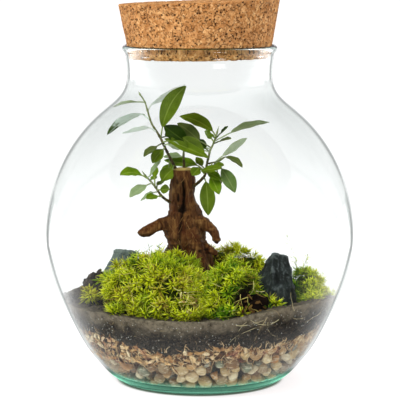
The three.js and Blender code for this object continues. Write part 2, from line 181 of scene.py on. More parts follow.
def piece(name, shape, look, nodes=()):
    """A smooth mesh object of (corners, faces, attributes) that rides on the one body."""
    corners, faces = shape[:2]
    mesh = bpy.data.meshes.new(name)
    mesh.vertices.add(len(corners))
    mesh.vertices.foreach_set("co", np.ascontiguousarray(corners, np.float32).ravel())
    counts = np.concatenate([np.full(len(f), f.shape[1]) for f in faces])
    loops = np.concatenate([f.ravel() for f in faces])
    mesh.loops.add(len(loops))
    mesh.loops.foreach_set("vertex_index", loops.astype(np.int32))
    mesh.polygons.add(len(counts))
    mesh.polygons.foreach_set("loop_start", (np.cumsum(counts) - counts).astype(np.int32))
    mesh.update(calc_edges=True)
    mesh.polygons.foreach_set("use_smooth", np.ones(len(counts), bool))
    for key, values in (shape[2] if len(shape) > 2 else {}).items():
        store = mesh.attributes.new(key, "FLOAT", "POINT")
        store.data.foreach_set("value", np.broadcast_to(values, len(corners)).astype(np.float32))
    mesh.materials.append(look)
    item = bpy.data.objects.new(name, mesh)
    bpy.context.scene.collection.objects.link(item)
    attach(item, "root")
    if nodes:
        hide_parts(*nodes)


def node_mesh(name):
    """Welded corners and triangles of a CAD node."""
    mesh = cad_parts[name].data
    corners = np.empty(len(mesh.vertices) * 3, np.float32)
    mesh.vertices.foreach_get("co", corners)
    corners = corners.reshape(-1, 3).astype(float)
    mesh.calc_loop_triangles()
    triangles = np.empty(len(mesh.loop_triangles) * 3, np.int32)
    mesh.loop_triangles.foreach_get("vertices", triangles)
    _, first, back = np.unique(np.round(corners, 6), axis=0, return_index=True, return_inverse=True)
    return corners[first], back.ravel()[triangles].reshape(-1, 3)


def ray_tree(corners, *faces):
    """What a ray is cast at: all the faces of a mesh."""
    return BVHTree.FromPolygons(corners.tolist(), [face for group in faces for face in group.tolist()])


def neighbours(count, triangles):
    """The corners that share an edge with each corner."""
    near = [set() for _ in range(count)]
    for a, b, c in triangles.tolist():
        near[a] |= {b, c}
        near[b] |= {a, c}
        near[c] |= {a, b}
    return near


def node_rings(name, sides):
    """The rings of a lofted node, both ways round: lists of corner arrays, tip point to tip point."""
    corners, triangles = node_mesh(name)
    near = neighbours(len(corners), triangles)
    found = []
    for start in range(len(corners)):
        if len(near[start]) != sides:
            continue
        seen, layer, layers = {start}, {start}, [[start]]
        while layer:
            layer = set().union(*(near[i] for i in layer)) - seen
            seen |= layer
            if layer:
                layers.append(sorted(layer))
        if [len(x) for x in layers] == [1] + [sides] * (len(layers) - 2) + [1]:
            found.append([corners[x] for x in layers])
    return found


def normals_of(corners, faces):
    total = np.zeros_like(corners)
    for group in faces:
        p = corners[group]
        normal = np.cross(p[:, 2] - p[:, 0], (p[:, 3] if group.shape[1] == 4 else p[:, 2]) - p[:, 1])
        for k in range(group.shape[1]):
            for axis in range(3):
                total[:, axis] += np.bincount(group[:, k], normal[:, axis], len(corners))
    return unit(total)


def relaxed(corners, faces, passes):
    """Corners drawn halfway to the mean of their neighbours, again and again."""
    edges = np.concatenate([np.stack([g, np.roll(g, -1, 1)], -1).reshape(-1, 2) for g in faces])
    edges = np.unique(np.sort(edges, 1), axis=0)
    ends = np.concatenate([edges, edges[:, ::-1]])
    count = np.maximum(np.bincount(ends[:, 0], minlength=len(corners)), 1)
    for _ in range(passes):
        sums = [np.bincount(ends[:, 0], corners[ends[:, 1], axis], len(corners)) for axis in range(3)]
        corners = corners + 0.5 * (np.stack(sums, 1) / count[:, None] - corners)
    return corners


def voxel_body(corners, faces, size):
    """One even skin of four-sided faces over a closed mesh."""
    mesh = bpy.data.meshes.new("scratch")
    mesh.from_pydata(corners.tolist(), [], [f for g in faces for f in g.tolist()])
    item = bpy.data.objects.new("scratch", mesh)
    bpy.context.scene.collection.objects.link(item)
    even = item.modifiers.new("even", "REMESH")
    even.mode = "VOXEL"
    even.voxel_size = size
    result = item.evaluated_get(bpy.context.evaluated_depsgraph_get()).to_mesh()
    co = np.empty(len(result.vertices) * 3, np.float32)
    result.vertices.foreach_get("co", co)
    quads = np.array([p.vertices[:] for p in result.polygons if len(p.vertices) == 4])
    bpy.data.objects.remove(item)
    bpy.data.meshes.remove(mesh)
    return co.reshape(-1, 3).astype(float), [quads]


def split_faces(corners, triangles, times):
    """Each triangle cut into four, so many times over."""
    for _ in range(times):
        edges = np.sort(np.stack([triangles, np.roll(triangles, -1, 1)], -1).reshape(-1, 2), 1)
        edges, back = np.unique(edges, axis=0, return_inverse=True)
        middle = len(corners) + back.reshape(-1, 3)
        corners = np.concatenate([corners, corners[edges].mean(1)])
        a, b, c = triangles.T
        ab, bc, ca = middle.T
        triangles = np.concatenate([np.stack(x, 1) for x in (
            (a, ab, ca), (ab, b, bc), (ca, bc, c), (ab, bc, ca))])
    return corners, triangles


def ball(times):
    """A round mesh of even triangles, radius 1."""
    g = (1 + 5**0.5) / 2
    corners = unit(np.array([
        (-1, g, 0), (1, g, 0), (-1, -g, 0), (1, -g, 0), (0, -1, g), (0, 1, g),
        (0, -1, -g), (0, 1, -g), (g, 0, -1), (g, 0, 1), (-g, 0, -1), (-g, 0, 1)], float))
    triangles = np.array([
        (0, 11, 5), (0, 5, 1), (0, 1, 7), (0, 7, 10), (0, 10, 11), (1, 5, 9), (5, 11, 4),
        (11, 10, 2), (10, 7, 6), (7, 1, 8), (3, 9, 4), (3, 4, 2), (3, 2, 6), (3, 6, 8),
        (3, 8, 9), (4, 9, 5), (2, 4, 11), (6, 2, 10), (8, 6, 7), (9, 8, 1)])
    corners, triangles = split_faces(corners, triangles, times)
    return unit(corners), triangles


def lumps(count, template, sizes, cuts, random, spin=None):
    """Stones or chips: the template cut flat on random sides, stretched to sizes and turned."""
    shape, triangles = template
    bodies = np.repeat(shape[None], count, 0)
    for _ in range(cuts):
        side = unit(random.normal(size=(count, 3)))
        reach = np.einsum("nvk,nk->nv", bodies, side)
        over = np.maximum(reach - random.uniform(0.45, 0.8, (count, 1)), 0)
        bodies = bodies - 0.92 * over[..., None] * side[:, None]
    bodies = bodies * sizes[:, None]
    spin = turned(count, random) if spin is None else spin
    return np.einsum("nij,nvj->nvi", spin, bodies), triangles


def placed(bodies, triangles, centres, **per_body):
    """Bodies moved to their centres, as one shape with a value of each attribute per body."""
    count, size = bodies.shape[:2]
    corners = (bodies + centres[:, None]).reshape(-1, 3)
    faces = (triangles[None] + (np.arange(count) * size)[:, None, None]).reshape(-1, 3)
    return corners, [faces], {k: np.repeat(np.asarray(x), size) for k, x in per_body.items()}


# ---- looks -----------------------------------------------------------------------------------


def rgb(code):
    """Linear colour of an sRGB hex code."""
    parts = [int(code[i:i + 2], 16) / 255 for i in (0, 2, 4)]
    return tuple(c / 12.92 if c <= 0.04045 else ((c + 0.055) / 1.055) ** 2.4 for c in parts) + (1.0,)


class Nodes:
    """A node tree in the making. Its methods give sockets, apart from node()."""

    def __init__(self, tree):
        self.tree = tree

    def fill(self, socket, value):
        """Links a socket to another one, or sets it to a number, a colour or a hex code."""
        if isinstance(value, bpy.types.NodeSocket):
            self.tree.links.new(value, socket)
        else:
            socket.default_value = rgb(value) if isinstance(value, str) else value

    def node(self, kind, sockets=None, **settings):
        made = self.tree.nodes.new("ShaderNode" + kind)
        for key, value in settings.items():
            setattr(made, key, value)
        for key, value in (sockets or {}).items():
            self.fill(made.inputs[key], value)
        return made

    def math(self, operation, *values):
        return self.node("Math", dict(enumerate(values)), operation=operation).outputs[0]

    def plus(self, a, b):
        return self.math("ADD", a, b)

    def less(self, a, b):
        return self.math("SUBTRACT", a, b)

    def times(self, a, b):
        return self.math("MULTIPLY", a, b)

    def between(self, value, low, high, out_low=0.0, out_high=1.0):
        """out_low up to low, out_high from high on, and even in between."""
        return self.node("MapRange", {
            "Value": value, "From Min": low, "From Max": high, "To Min": out_low, "To Max": out_high,
        }).outputs[0]

    def plus_steps(self, total, value, steps):
        for step in steps:
            total = self.plus(total, self.between(value, *step))
        return total

    def part_of(self, vector, axis):
        return self.node("SeparateXYZ", {"Vector": vector}).outputs[axis]


class Look(Nodes):
    """A material in the making, with its colours and bumps made of nodes."""

    def __init__(self, name, **sockets):
        self.material = bpy.data.materials.new(name)
        self.material.use_nodes = True
        super().__init__(self.material.node_tree)
        self.shader = self.tree.nodes["Principled BSDF"]
        self.output = self.tree.nodes["Material Output"]
        self.place = self.node("TexCoord").outputs["Object"]
        self.set(**sockets)

    def set(self, **sockets):
        """Fills sockets of the main shader."""
        for key, value in sockets.items():
            self.fill(self.shader.inputs[key.replace("_", " ")], value)

    def attribute(self, name):
        return self.node("Attribute", attribute_name=name).outputs["Fac"]

    def noise(self, size, detail=3.0, rough=0.55, stretch=None, distortion=0.0):
        """Cloudy values from 0 to 1 with features of this size."""
        where = self.place
        if stretch:
            where = self.node("Mapping", {"Vector": where, "Scale": stretch}).outputs[0]
        return self.node("TexNoise", {
            "Vector": where, "Scale": 1 / size, "Detail": detail, "Roughness": rough,
            "Distortion": distortion}).outputs["Fac"]

    def cells(self, size, output="Color", feature="F1"):
        return self.node("TexVoronoi", {"Vector": self.place, "Scale": 1 / size},
                         feature=feature).outputs[output]

    def specks(self, size, low, high, chosen):
        """Dots in the cells of a size, in the patches that chosen picks out."""
        dots = self.between(self.cells(size, "Distance"), low, high, 1.0, 0.0)
        return self.times(dots, chosen)

    def ramp(self, factor, stops, interpolation="LINEAR"):
        """Colours between (place, hex code) stops."""
        made = self.node("ValToRGB", {"Fac": factor})
        made.color_ramp.interpolation = interpolation
        points = made.color_ramp.elements
        while len(points) < len(stops):
            points.new(0.5)
        for point, (at, _) in zip(points, stops):
            point.position = at
        for point, (_, code) in zip(points, stops):
            point.color = rgb(code)
        return made.outputs["Color"]

    def mix(self, factor, a, b):
        return self.node("Mix", {0: factor, 6: a, 7: b}, data_type="RGBA", clamp_factor=True).outputs[2]

    def surface(self, share, first, second):
        """The material, showing this share of the second shader."""
        both = self.node("MixShader", {"Fac": share, 1: first.outputs[0], 2: second.outputs[0]})
        self.tree.links.new(both.outputs[0], self.output.inputs["Surface"])
        return self.material

    def done(self, colour, height=None, depth=0.0005, strength=1.0, rough=None, glow=0.0):
        """The material with colour, bump and roughness; glow is the share of light that passes through."""
        self.set(Base_Color=colour)
        if rough is not None:
            self.set(Roughness=rough)
        if height is not None:
            bump = self.node("Bump", {"Height": height, "Strength": strength, "Distance": depth})
            self.set(Normal=bump.outputs[0])
        if glow:
            return self.surface(glow, self.shader, self.node("BsdfTranslucent", {"Color": colour}))
        return self.material


def glass_look():
    look = Look("clear_glass", Roughness=0.0, IOR=1.5, Transmission_Weight=1.0, Base_Color=(1, 1, 1, 1))
    depth = look.node("VolumeAbsorption", {"Color": (0.18, 0.76, 0.60, 1), "Density": 22.0})
    look.tree.links.new(depth.outputs[0], look.output.inputs["Volume"])
    # Lamps and bounced light pass straight through, so that what is inside is lit without caustics.
    path = look.node("LightPath").outputs
    passing = look.math("MAXIMUM", path["Is Shadow Ray"], path["Is Diffuse Ray"])
    clear = look.node("BsdfTransparent", {"Color": (0.97, 0.985, 0.98, 1)})
    return look.surface(passing, look.shader, clear)


def cork_look():
    """Pressed granules with dark crumbs between them; below the rim a painted shade darkens the plug."""
    look = Look("cork", Roughness=0.85, Specular_IOR_Level=0.2)
    granule, crumb = 0.0036, 0.0016
    grain = look.ramp(look.cells(granule), [
        (0.0, "83572c"), (0.3, "a26f3e"), (0.6, "b98450"), (1.0, "d6ab74")])
    fine = look.ramp(look.cells(crumb), [
        (0.0, "6c431b"), (0.4, "a9723c"), (0.75, "c99760"), (1.0, "e8c18c")])
    body = look.mix(0.55, grain, fine)
    body = look.mix(look.between(look.noise(0.012), 0.42, 0.62, 0.0, 0.35), body, "8a5930")
    crack = look.between(look.cells(granule, "Distance", "DISTANCE_TO_EDGE"), 0.0, 0.10, 0.9, 0.0)
    dark = look.times(crack, look.between(look.noise(0.004, 4), 0.50, 0.58))
    for size, low, high in ((0.0026, 0.50, 0.56), (0.0014, 0.52, 0.60)):
        chosen = look.between(look.noise(size * 1.3, 2), low, high)
        dark = look.math("MAXIMUM", dark, look.specks(size, 0.24, 0.40, chosen))
    colour = look.mix(dark, body, "2e1506")
    # painted shade: the band of cork just below the rim is darkened towards near black
    colour = look.mix(look.attribute("shade"), colour, "1a0d05")
    return look.done(colour, look.less(look.noise(0.0012, 3), dark), 0.0007, 0.9)


def pebble_look():
    """River gravel of ten colours, clouded and veined, darker towards the bottom of the jar, with painted
    shade on the deeper stones and the core between them.
    """
    look = Look("pebbles", Roughness=0.35, Specular_IOR_Level=0.5)
    kind = look.ramp(look.attribute("tone"), [
        (0.0, "c7a874"), (0.14, "9a7f5a"), (0.24, "767a62"), (0.34, "d8bd90"), (0.47, "b27a3c"),
        (0.57, "84603c"), (0.66, "dcc8a4"), (0.76, "ae8450"), (0.86, "66665a"), (0.94, "bb8f58"),
    ], "CONSTANT")
    clouds = look.noise(0.005, 5, 0.6)
    colour = look.mix(look.between(clouds, 0.38, 0.66, 0.0, 0.55), kind, "7a4f26")
    veins = look.between(look.noise(0.006, 4, 0.6, (1, 1, 3.2), 1.5), 0.52, 0.62)
    colour = look.mix(look.times(veins, 0.5), colour, "efe3c8")
    # darker towards the bottom of the jar, and painted shade where the shade mark is set
    low_down = look.between(look.part_of(look.place, "Z"), 0.0045, 0.013, 0.6, 0.0)
    painted_shade_and_low_dark = look.math("MAXIMUM", look.times(look.attribute("shade"), 0.85), low_down)
    colour = look.mix(painted_shade_and_low_dark, colour, "2a1d12")
    return look.done(colour, look.noise(0.0012, 3), 0.0002, 0.5, look.between(clouds, 0.3, 0.7, 0.25, 0.6))


def bark_look():
    look = Look("bark_chips", Roughness=0.85, Specular_IOR_Level=0.3)
    wood = look.ramp(look.attribute("tone"), [
        (0.0, "24150c"), (0.18, "5a371d"), (0.34, "966539"), (0.5, "be8f5a"), (0.72, "e2ba86"),
        (1.0, "f6dcb4")])
    streak = look.noise(0.0016, 4, 0.6, distortion=1.0)
    colour = look.mix(look.between(streak, 0.42, 0.66, 0.0, 0.6), wood, "5b3820")
    colour = look.mix(look.between(look.noise(0.018, 2), 0.56, 0.68, 0.0, 0.4), colour, "a8584a")
    return look.done(colour, streak, 0.0006, 0.9)


def soil_look():
    """Dark crumbly soil with pale specks, dusty where it dries at the wall."""
    look = Look("soil", Roughness=0.95, Specular_IOR_Level=0.2)
    lump = look.noise(0.0021, 6, 0.78)
    colour = look.ramp(lump, [
        (0.30, "060504"), (0.44, "17130f"), (0.54, "342b23"), (0.64, "5a4a3a"), (0.8, "8a745a")])
    broken = look.between(look.noise(0.0035, 5, 0.7), 0.32, 0.62, 0.25, 1.0)
    dusty = look.times(look.attribute("dry"), broken)
    colour = look.mix(look.times(dusty, 0.72), colour, "9c8b76")
    chosen = look.between(look.noise(0.009, 2), 0.52, 0.60)
    colour = look.mix(look.specks(0.0042, 0.10, 0.16, chosen), colour, "9a9388")
    return look.done(colour, lump, 0.0012, 1.0)


def toned_look(name, stops, height, depth, strength=1.0, stain=None, **sockets):
    """A look for small bits, each with a colour of its own; stain is a share and the colour it adds."""
    look = Look(name, **sockets)
    colour = look.ramp(look.attribute("tone"), stops)
    if stain:
        colour = look.mix(look.between(look.noise(0.002, 3), 0.4, 0.7, 0.0, stain[0]), colour, stain[1])
    return look.done(colour, look.noise(*height), depth, strength)


def grit_look():
    return toned_look("soil_grit", [
        (0.0, "2b2622"), (0.45, "4a4038"), (0.6, "6b5845"), (0.72, "8d7a63"), (0.82, "d9d4c8"),
        (1.0, "f2efe8"),
    ], (0.001, 3), 0.0003, 0.6, Roughness=0.9)


def root_look():
    return toned_look("pale_roots", [(0.0, "7c6543"), (0.5, "a88e60"), (1.0, "d8c79a")],
                      (0.0015, 2), 0.0001, Roughness=0.8)


def straw_look():
    return toned_look("straw", [
        (0.0, "4a2c14"), (0.2, "7a5c2a"), (0.5, "b49a52"), (0.75, "d0c468"), (1.0, "e8dc9c"),
    ], (0.001, 3), 0.0002, 0.6, (0.4, "6a5018"), Roughness=0.6, Specular_IOR_Level=0.3)


def moss_look():
    """Shoots that pale towards their tips: deep green, fresh yellow green or dry, by their tone."""
    look = Look("moss", Roughness=0.55, Specular_IOR_Level=0.35)
    along = look.attribute("along")
    fresh = look.ramp(along, [(0.0, "262a00"), (0.28, "9aa800"), (0.58, "f0f410"), (1.0, "fffe80")])
    deep = look.ramp(along, [(0.0, "081800"), (0.3, "2f5e00"), (0.65, "7cae02"), (1.0, "cce43c")])
    dry = look.ramp(along, [(0.0, "3a2408"), (0.4, "8a6a1c"), (0.75, "d2b846"), (1.0, "f2e08a")])
    tone = look.attribute("tone")
    colour = look.mix(look.between(tone, 0.15, 0.5), deep, fresh)
    colour = look.mix(look.between(tone, 0.78, 0.95), colour, dry)
    return look.done(colour, glow=0.36)


def moss_base_look():
    look = Look("moss_base", Roughness=0.95, Specular_IOR_Level=0.1)
    # The cushion is dark: partly the brown of old moss, partly painted shade in the gaps between the
    # shoots.
    colour = look.ramp(look.noise(0.004, 4, 0.65), [
        (0.3, "110e02"), (0.45, "262c04"), (0.6, "48580a"), (0.75, "5a4a18")])
    # painted shade: the dent at the front right is darkened by its hollow mark
    colour = look.mix(look.attribute("hollow"), colour, "170c07")
    return look.done(colour, look.noise(0.002, 4), 0.0015, 1.0)


def slate_look():
    """Dark split stone with paler dust and a painted highlight on its edges; the far stone is painted paler
    all over, a painted haze.
    """
    look = Look("slate", Roughness=0.62, Specular_IOR_Level=0.45)
    bands = look.noise(0.009, 6, 0.68, (1, 1, 0.6), 0.8)
    colour = look.ramp(bands, [(0.25, "0d0e0d"), (0.45, "1c1f1e"), (0.6, "2c3130"), (0.78, "4c524f")])
    colour = look.mix(look.between(look.noise(0.0025, 4, 0.7), 0.58, 0.78, 0.0, 0.35), colour, "555c5c")
    # painted highlight on the sharp edges, then a painted haze that makes the far stone paler
    colour = look.mix(look.times(look.attribute("edge"), 0.5), colour, "6a7070")
    colour = look.mix(look.attribute("pale"), colour, "8d9a92")
    return look.done(colour, look.plus(bands, look.noise(0.0015, 4)), 0.0012, 0.8)


def trunk_look():
    """Streaked brown bark with painted shade in its grooves, a painted highlight on its ridges and
    rootlets, and pale where it was cut.
    """
    look = Look("trunk_bark", Roughness=0.6, Specular_IOR_Level=0.2)
    streak = look.noise(0.0024, 6, 0.7, (1, 1, 0.16), 0.5)
    colour = look.ramp(streak, [
        (0.30, "1a0c04"), (0.43, "43260f"), (0.54, "6c4826"), (0.68, "966c3c"), (0.85, "c09a62")])
    colour = look.mix(look.between(look.noise(0.016, 3), 0.40, 0.60, 0.1, 0.7), colour, "52260f")
    # painted shade in the grooves, a painted highlight on ridges and rootlets, the pale cut wood on top
    for mark, code in (("groove", "130803"), ("worn", "b08550"), ("cut", "c9ad66")):
        colour = look.mix(look.attribute(mark), colour, code)
    wrinkle = look.noise(0.0035, 4, 0.6, (0.5, 0.5, 2.6))
    return look.done(colour, look.plus(look.times(streak, 1.5), look.times(wrinkle, 0.6)), 0.0014, 1.0)


def stem_look():
    look = Look("stem", Roughness=0.55, Specular_IOR_Level=0.4)
    grey = look.ramp(look.noise(0.0016, 4, 0.6, (1, 1, 0.4)), [
        (0.3, "241a08"), (0.5, "463818"), (0.7, "6c5c34")])
    green = look.ramp(look.noise(0.003, 3), [(0.3, "5c6a34"), (0.7, "98a070")])
    colour = look.mix(look.attribute("young"), grey, green)
    return look.done(colour, look.noise(0.0012, 3), 0.0003, 0.7)


def leaf_look(name, upper, lower, vein, tip=None):
    """A leaf that is darker and glossier above, with a pale midrib and fine slanting side veins."""
    look = Look(name, Roughness=0.4, Specular_IOR_Level=0.42, Coat_Weight=0.05, Coat_Roughness=0.2)
    across, along, under = (look.attribute(mark) for mark in ("across", "along", "under"))
    off = look.math("ABSOLUTE", across)
    phase = look.less(look.times(along, 15.0), look.times(off, 3.2))
    side = look.math("ABSOLUTE", look.less(look.math("FRACT", phase), 0.5))
    side = look.between(side, 0.0, 0.10, 1.0, 0.0)
    rib = look.between(off, 0.025, 0.085, 1.0, 0.0)
    patches = look.between(look.noise(0.009, 3), 0.3, 0.7)
    top = look.mix(patches, *upper)
    for share in (look.times(side, 0.22), look.between(off, 0.93, 1.0, 0.0, 0.6), look.times(rib, 0.75)):
        top = look.mix(share, top, vein)
    bottom = look.mix(look.times(side, 0.3), look.mix(patches, *lower), vein)
    colour = look.mix(under, top, bottom)
    if tip:
        colour = look.mix(look.between(look.plus(along, look.noise(0.004, 2)), 1.05, 1.3), colour, tip)
    height = look.less(look.noise(0.0016, 2), look.plus(rib, look.times(side, 0.7)))
    return look.done(colour, height, 0.00025, 0.6, look.between(under, 0.0, 1.0, 0.37, 0.65), glow=0.28)


def floor_look():
    """White paper that glows. Under the jar it is dimmed by painted shade and tinted teal as painted light
    through the glass, with a dark ring of painted contact shadow where the glass stands.
    The glass mirrors a floor of another brightness: dark in front, bright beside and behind the jar."""
    look = Look("pale_floor", Roughness=0.6, Specular_IOR_Level=0.0, Base_Color=(0.35, 0.34, 0.345, 1))
    off = look.node("VectorMath", {0: look.place}, operation="LENGTH").outputs["Value"]
    white = "fffcfd"
    # painted shade under the jar and a painted contact shadow round its foot, tinted teal as painted light
    # through the glass base
    under, open_floor = (0.052, 0.060, 0.4, 0.0), ((0.0675, 0.0715, 0.06, 0.78), (0.07, 0.11, 0.0, 0.15))
    look.set(Emission_Color=look.mix(look.between(off, 0.0675, 0.0705), "86cc99", white),
             Emission_Strength=look.plus_steps(look.between(off, *under), off, open_floor))
    # What is mirrored depends on how far back a spot lies, from -1 in front to 1 behind. Close to the
    # jar rays come down steeply from its lower wall, so there the dark edge lies less far back.
    ahead = look.math("DIVIDE", look.part_of(look.place, "Y"), off)
    lower_wall = look.times(look.between(off, 0.15, 0.7, 0.27, 0.0), look.between(ahead, 0.3, 0.55))
    reach = look.plus(ahead, lower_wall)
    shown = look.plus_steps(look.between(ahead, *FLOOR[0]), reach, FLOOR[1:])
    beside = look.times(look.between(ahead, 0.0, 0.4, 0.0, 2.0), look.between(reach, 0.72, 0.82, 1.0, 0.0))
    shown = look.plus(shown, look.times(beside, look.between(off, 0.2, 0.45)))
    # Painted reflection: only the glass mirrors a bright ring round its foot, teal close in, and a dim glow
    # near the jar.
    base = look.times(look.between(off, 0.069, 0.071, 0.35, 1.9), look.between(off, 0.074, 0.081, 1.0, 0.0))
    near = look.plus_steps(base, off, [(0.125, 0.16, 0.4, 0.0)])
    tint = look.mix(look.between(off, 0.078, 0.088), "84ccae", white)
    mirrored = look.node("Emission", {"Strength": look.math("MAXIMUM", shown, near), "Color": tint})
    bounced = look.math("GREATER_THAN", look.node("LightPath").outputs["Glossy Depth"], 0.5)
    return look.surface(bounced, look.shader, mirrored)


# ---- jar -------------------------------------------------------------------------------------


def jar_profile():
    """Radius and height along the jar's section, from under its base over the rim to its floor."""
    corners, triangles = node_mesh("glass_jar")
    flat = (np.abs(corners[:, 1]) < 1e-6) & (corners[:, 0] > -1e-6)
    near = neighbours(len(corners), triangles)
    here = int(np.argmin(np.where(flat, np.abs(corners[:, 0]) + corners[:, 2], 9)))
    path = [here]
    while True:
        onward = [i for i in near[here] if flat[i] and i not in path]
        if not onward:
            return corners[path][:, [0, 2]]
        if len(path) > 1:
            here = min(onward, key=lambda i: np.linalg.norm(corners[i] - corners[path[-1]]))
        else:
            here = min(onward, key=lambda i: corners[i][2])
        path.append(here)


PROFILE = jar_profile()
RIM = int(np.argmax(PROFILE[:, 1]))
INSIDE = PROFILE[RIM + 1:-1][::-1]
FLOOR_TOP = PROFILE[-1, 1]
BASE_EDGE = PROFILE[1, 0]
CLEAR = 0.15 * MM


def wall_radius(height):
    """Radius of the jar's inner wall at a height."""
    return np.interp(height, INSIDE[:, 1], INSIDE[:, 0])


def kept_inside(points, gap=CLEAR):
    """Points pressed inwards to the inner wall and up from the jar's floor, in place."""
    points[:, 2] = np.maximum(points[:, 2], FLOOR_TOP + gap)
    limit = wall_radius(points[:, 2]) - gap
    reach = np.hypot(points[:, 0], points[:, 1])
    points[:, :2] *= np.minimum(1, limit / np.maximum(reach, 1e-9))[:, None]
    return points


def inside(shape, gap=CLEAR):
    """The shape with its corners kept inside."""
    return (kept_inside(shape[0], gap), *shape[1:])


JAR_ROWS, JAR_COLUMNS, JAR_PASSES = 400, 240, 40


def glass_jar():
    """The blown jar: its section as one smooth curve with even steps, turned round its axis."""
    dense = along_curve(np.insert(PROFILE[1:-1], 1, 0.0, axis=1), 40 * len(PROFILE))[:, [0, 2]]
    run = np.concatenate([[0], np.cumsum(np.linalg.norm(np.diff(dense, axis=0), axis=1))])
    steps = np.linspace(0, run[-1], JAR_ROWS)
    fine = np.column_stack([np.interp(steps, run, dense[:, k]) for k in (0, 1)])
    # The body is evened out so that no ring shows in the glass; base corner and rim bead stay sharp.
    height = fine[1:-1, 1:]
    body = smoothstep(8 * MM, 20 * MM, height) * (1 - smoothstep(258 * MM, 266 * MM, height))
    for _ in range(JAR_PASSES):
        fine[1:-1] += 0.5 * body * ((fine[:-2] + fine[2:]) / 2 - fine[1:-1])
    widest = int(np.argmax(fine[:, 0]))
    near = np.exp(-((fine[:, 1] - fine[widest, 1]) / (30 * MM)) ** 2)
    fine[:, 0] -= max(fine[widest, 0] - PROFILE[:, 0].max(), 0) * near
    fine[:, 1] = np.clip(fine[:, 1], 0, PROFILE[:, 1].max())
    fine = np.concatenate([[[BASE_EDGE - 0.6 * MM, 0.0]], fine, [[fine[-1, 0] - 1 * MM, FLOOR_TOP]]])
    angle = np.arange(JAR_COLUMNS) / JAR_COLUMNS * TURN
    rings = np.stack([fine[:, :1] * np.cos(angle), fine[:, :1] * np.sin(angle),
                      np.repeat(fine[:, 1:], JAR_COLUMNS, 1)], -1)
    shape = skin((0, 0, 0), rings, (0, 0, FLOOR_TOP))
    piece("clear_jar", shape, glass_look(), ["glass_jar"])


# ---- cork stopper ----------------------------------------------------------------------------


def cork_stopper():
    """The tapered plug with pressed granules: pitted sides, chipped edges, one even skin."""
    rings = min(node_rings("cork_stopper", 36), key=lambda layers: layers[0][0][2])
    fits = []
    for ring in rings[1:-1]:
        middle = ring.mean(0)
        radius = np.linalg.norm(ring - middle, axis=1).mean()
        slope = np.linalg.lstsq(ring[:, :2] - middle[:2], ring[:, 2] - middle[2], rcond=None)[0]
        fits.append((middle, radius, slope))

    def ring_at(fit, share=1.0):
        middle, radius, slope = fit
        flat = RAY * radius * share
        return np.column_stack([middle[0] + flat[:, 0], middle[1] + flat[:, 1], middle[2] + flat @ slope])

    low, foot, head, top = (ring_at(f) for f in (fits[0], fits[1], fits[-2], fits[-1]))
    rows = [ring_at(fits[0], s) for s in np.linspace(0.05, 0.98, 16)]
    rows += [low, foot] + [foot + (head - foot) * t for t in np.linspace(0, 1, 52)[1:-1]] + [head, top]
    rows += [ring_at(fits[-1], s) for s in np.linspace(0.98, 0.05, 26)]
    corners, faces = skin(rings[0][0], np.array(rows), rings[-1][0])
    normals = normals_of(corners, faces)
    pits = smoothstep(0.15, 0.6, fbm(corners, 2.4 * MM, 3, 5)) * 0.7 * MM
    grain = 0.16 * MM * (1 + noise(corners, 1.1 * MM, 9))
    waves = 0.25 * MM * (1 + noise(corners, 9 * MM, 3))
    corners = corners - normals * (pits + grain + waves)[:, None]
    # Painted shade: a band of the plug just below the rim, mostly at the front, is darkened.
    depth = PROFILE[:, 1].max() - corners[:, 2] + 0.5 * MM * noise(corners, 6 * MM, 7)
    shade = smoothstep(0.6 * MM, 1.6 * MM, depth) * (1 - smoothstep(4.2 * MM, 5.6 * MM, depth))
    side = np.sin(np.arctan2(corners[:, 0], -corners[:, 1]) - 0.1)
    shade *= 0.32 * (1 - smoothstep(0.62, 0.85, np.abs(side)))
    piece("cork_plug", (corners, faces, {"shade": shade}), cork_look(), ["cork_stopper"])


# ---- pebbles, bark and soil ------------------------------------------------------------------

LAYERS = ("pebble_layer", "bark_layer", "soil_bed")
GROUND = {name: ray_tree(*node_mesh(name)) for name in LAYERS}


def ground_height(name, flat):
    """Height of a layer's top at flat points, or at the nearest point inwards that lies on it."""
    heights = []
    for x, y in flat:
        hit, share = None, 1.0
        while hit is None:
            hit = GROUND[name].ray_cast((x * share, y * share, HIGH), (0, 0, -1))[0]
            share -= 0.006
        heights.append(hit[2])
    return np.array(heights)


def shore(name):
    """Height at which a layer's top meets the wall, for each angle."""
    height = np.full(COLUMNS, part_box(name)[1][2] * 0.8)
    for _ in range(4):
        height = ground_height(name, RAY * (wall_radius(height) - 1.4 * MM)[:, None])
    return height


PEBBLE_LINE, BARK_LINE, SOIL_LINE = (shore(name) for name in LAYERS)
# The gravel stands higher against the wall at the front right.
HEAPED = PEBBLE_LINE + 9 * MM * np.exp(-((np.degrees(ANGLE) - 312) / 17) ** 2)


def line_at(line, angle):
    """Height of a wavy line at angles."""
    return np.interp(angle % TURN, np.append(ANGLE, TURN), np.append(line, line[0]))


# How much the soil is banked up at the wall, mm, at angles from the right side, degrees
BANK = (-180, -126, -110, -90, -75, -55, -30, 0, 30, 180), (3, 4.5, 2.5, 3, 6, 11, 11, 4, 0, 3)


def soil_height(flat):
    """Height of the soil as it is shown at flat points: that of the frame, banked up at the wall."""
    level = ground_height("soil_bed", flat)
    bank = np.interp(np.degrees(np.arctan2(flat[:, 1], flat[:, 0])), *BANK) * MM
    return level + bank * smoothstep(0.72, 1.0, np.hypot(flat[:, 0], flat[:, 1]) / wall_radius(level))


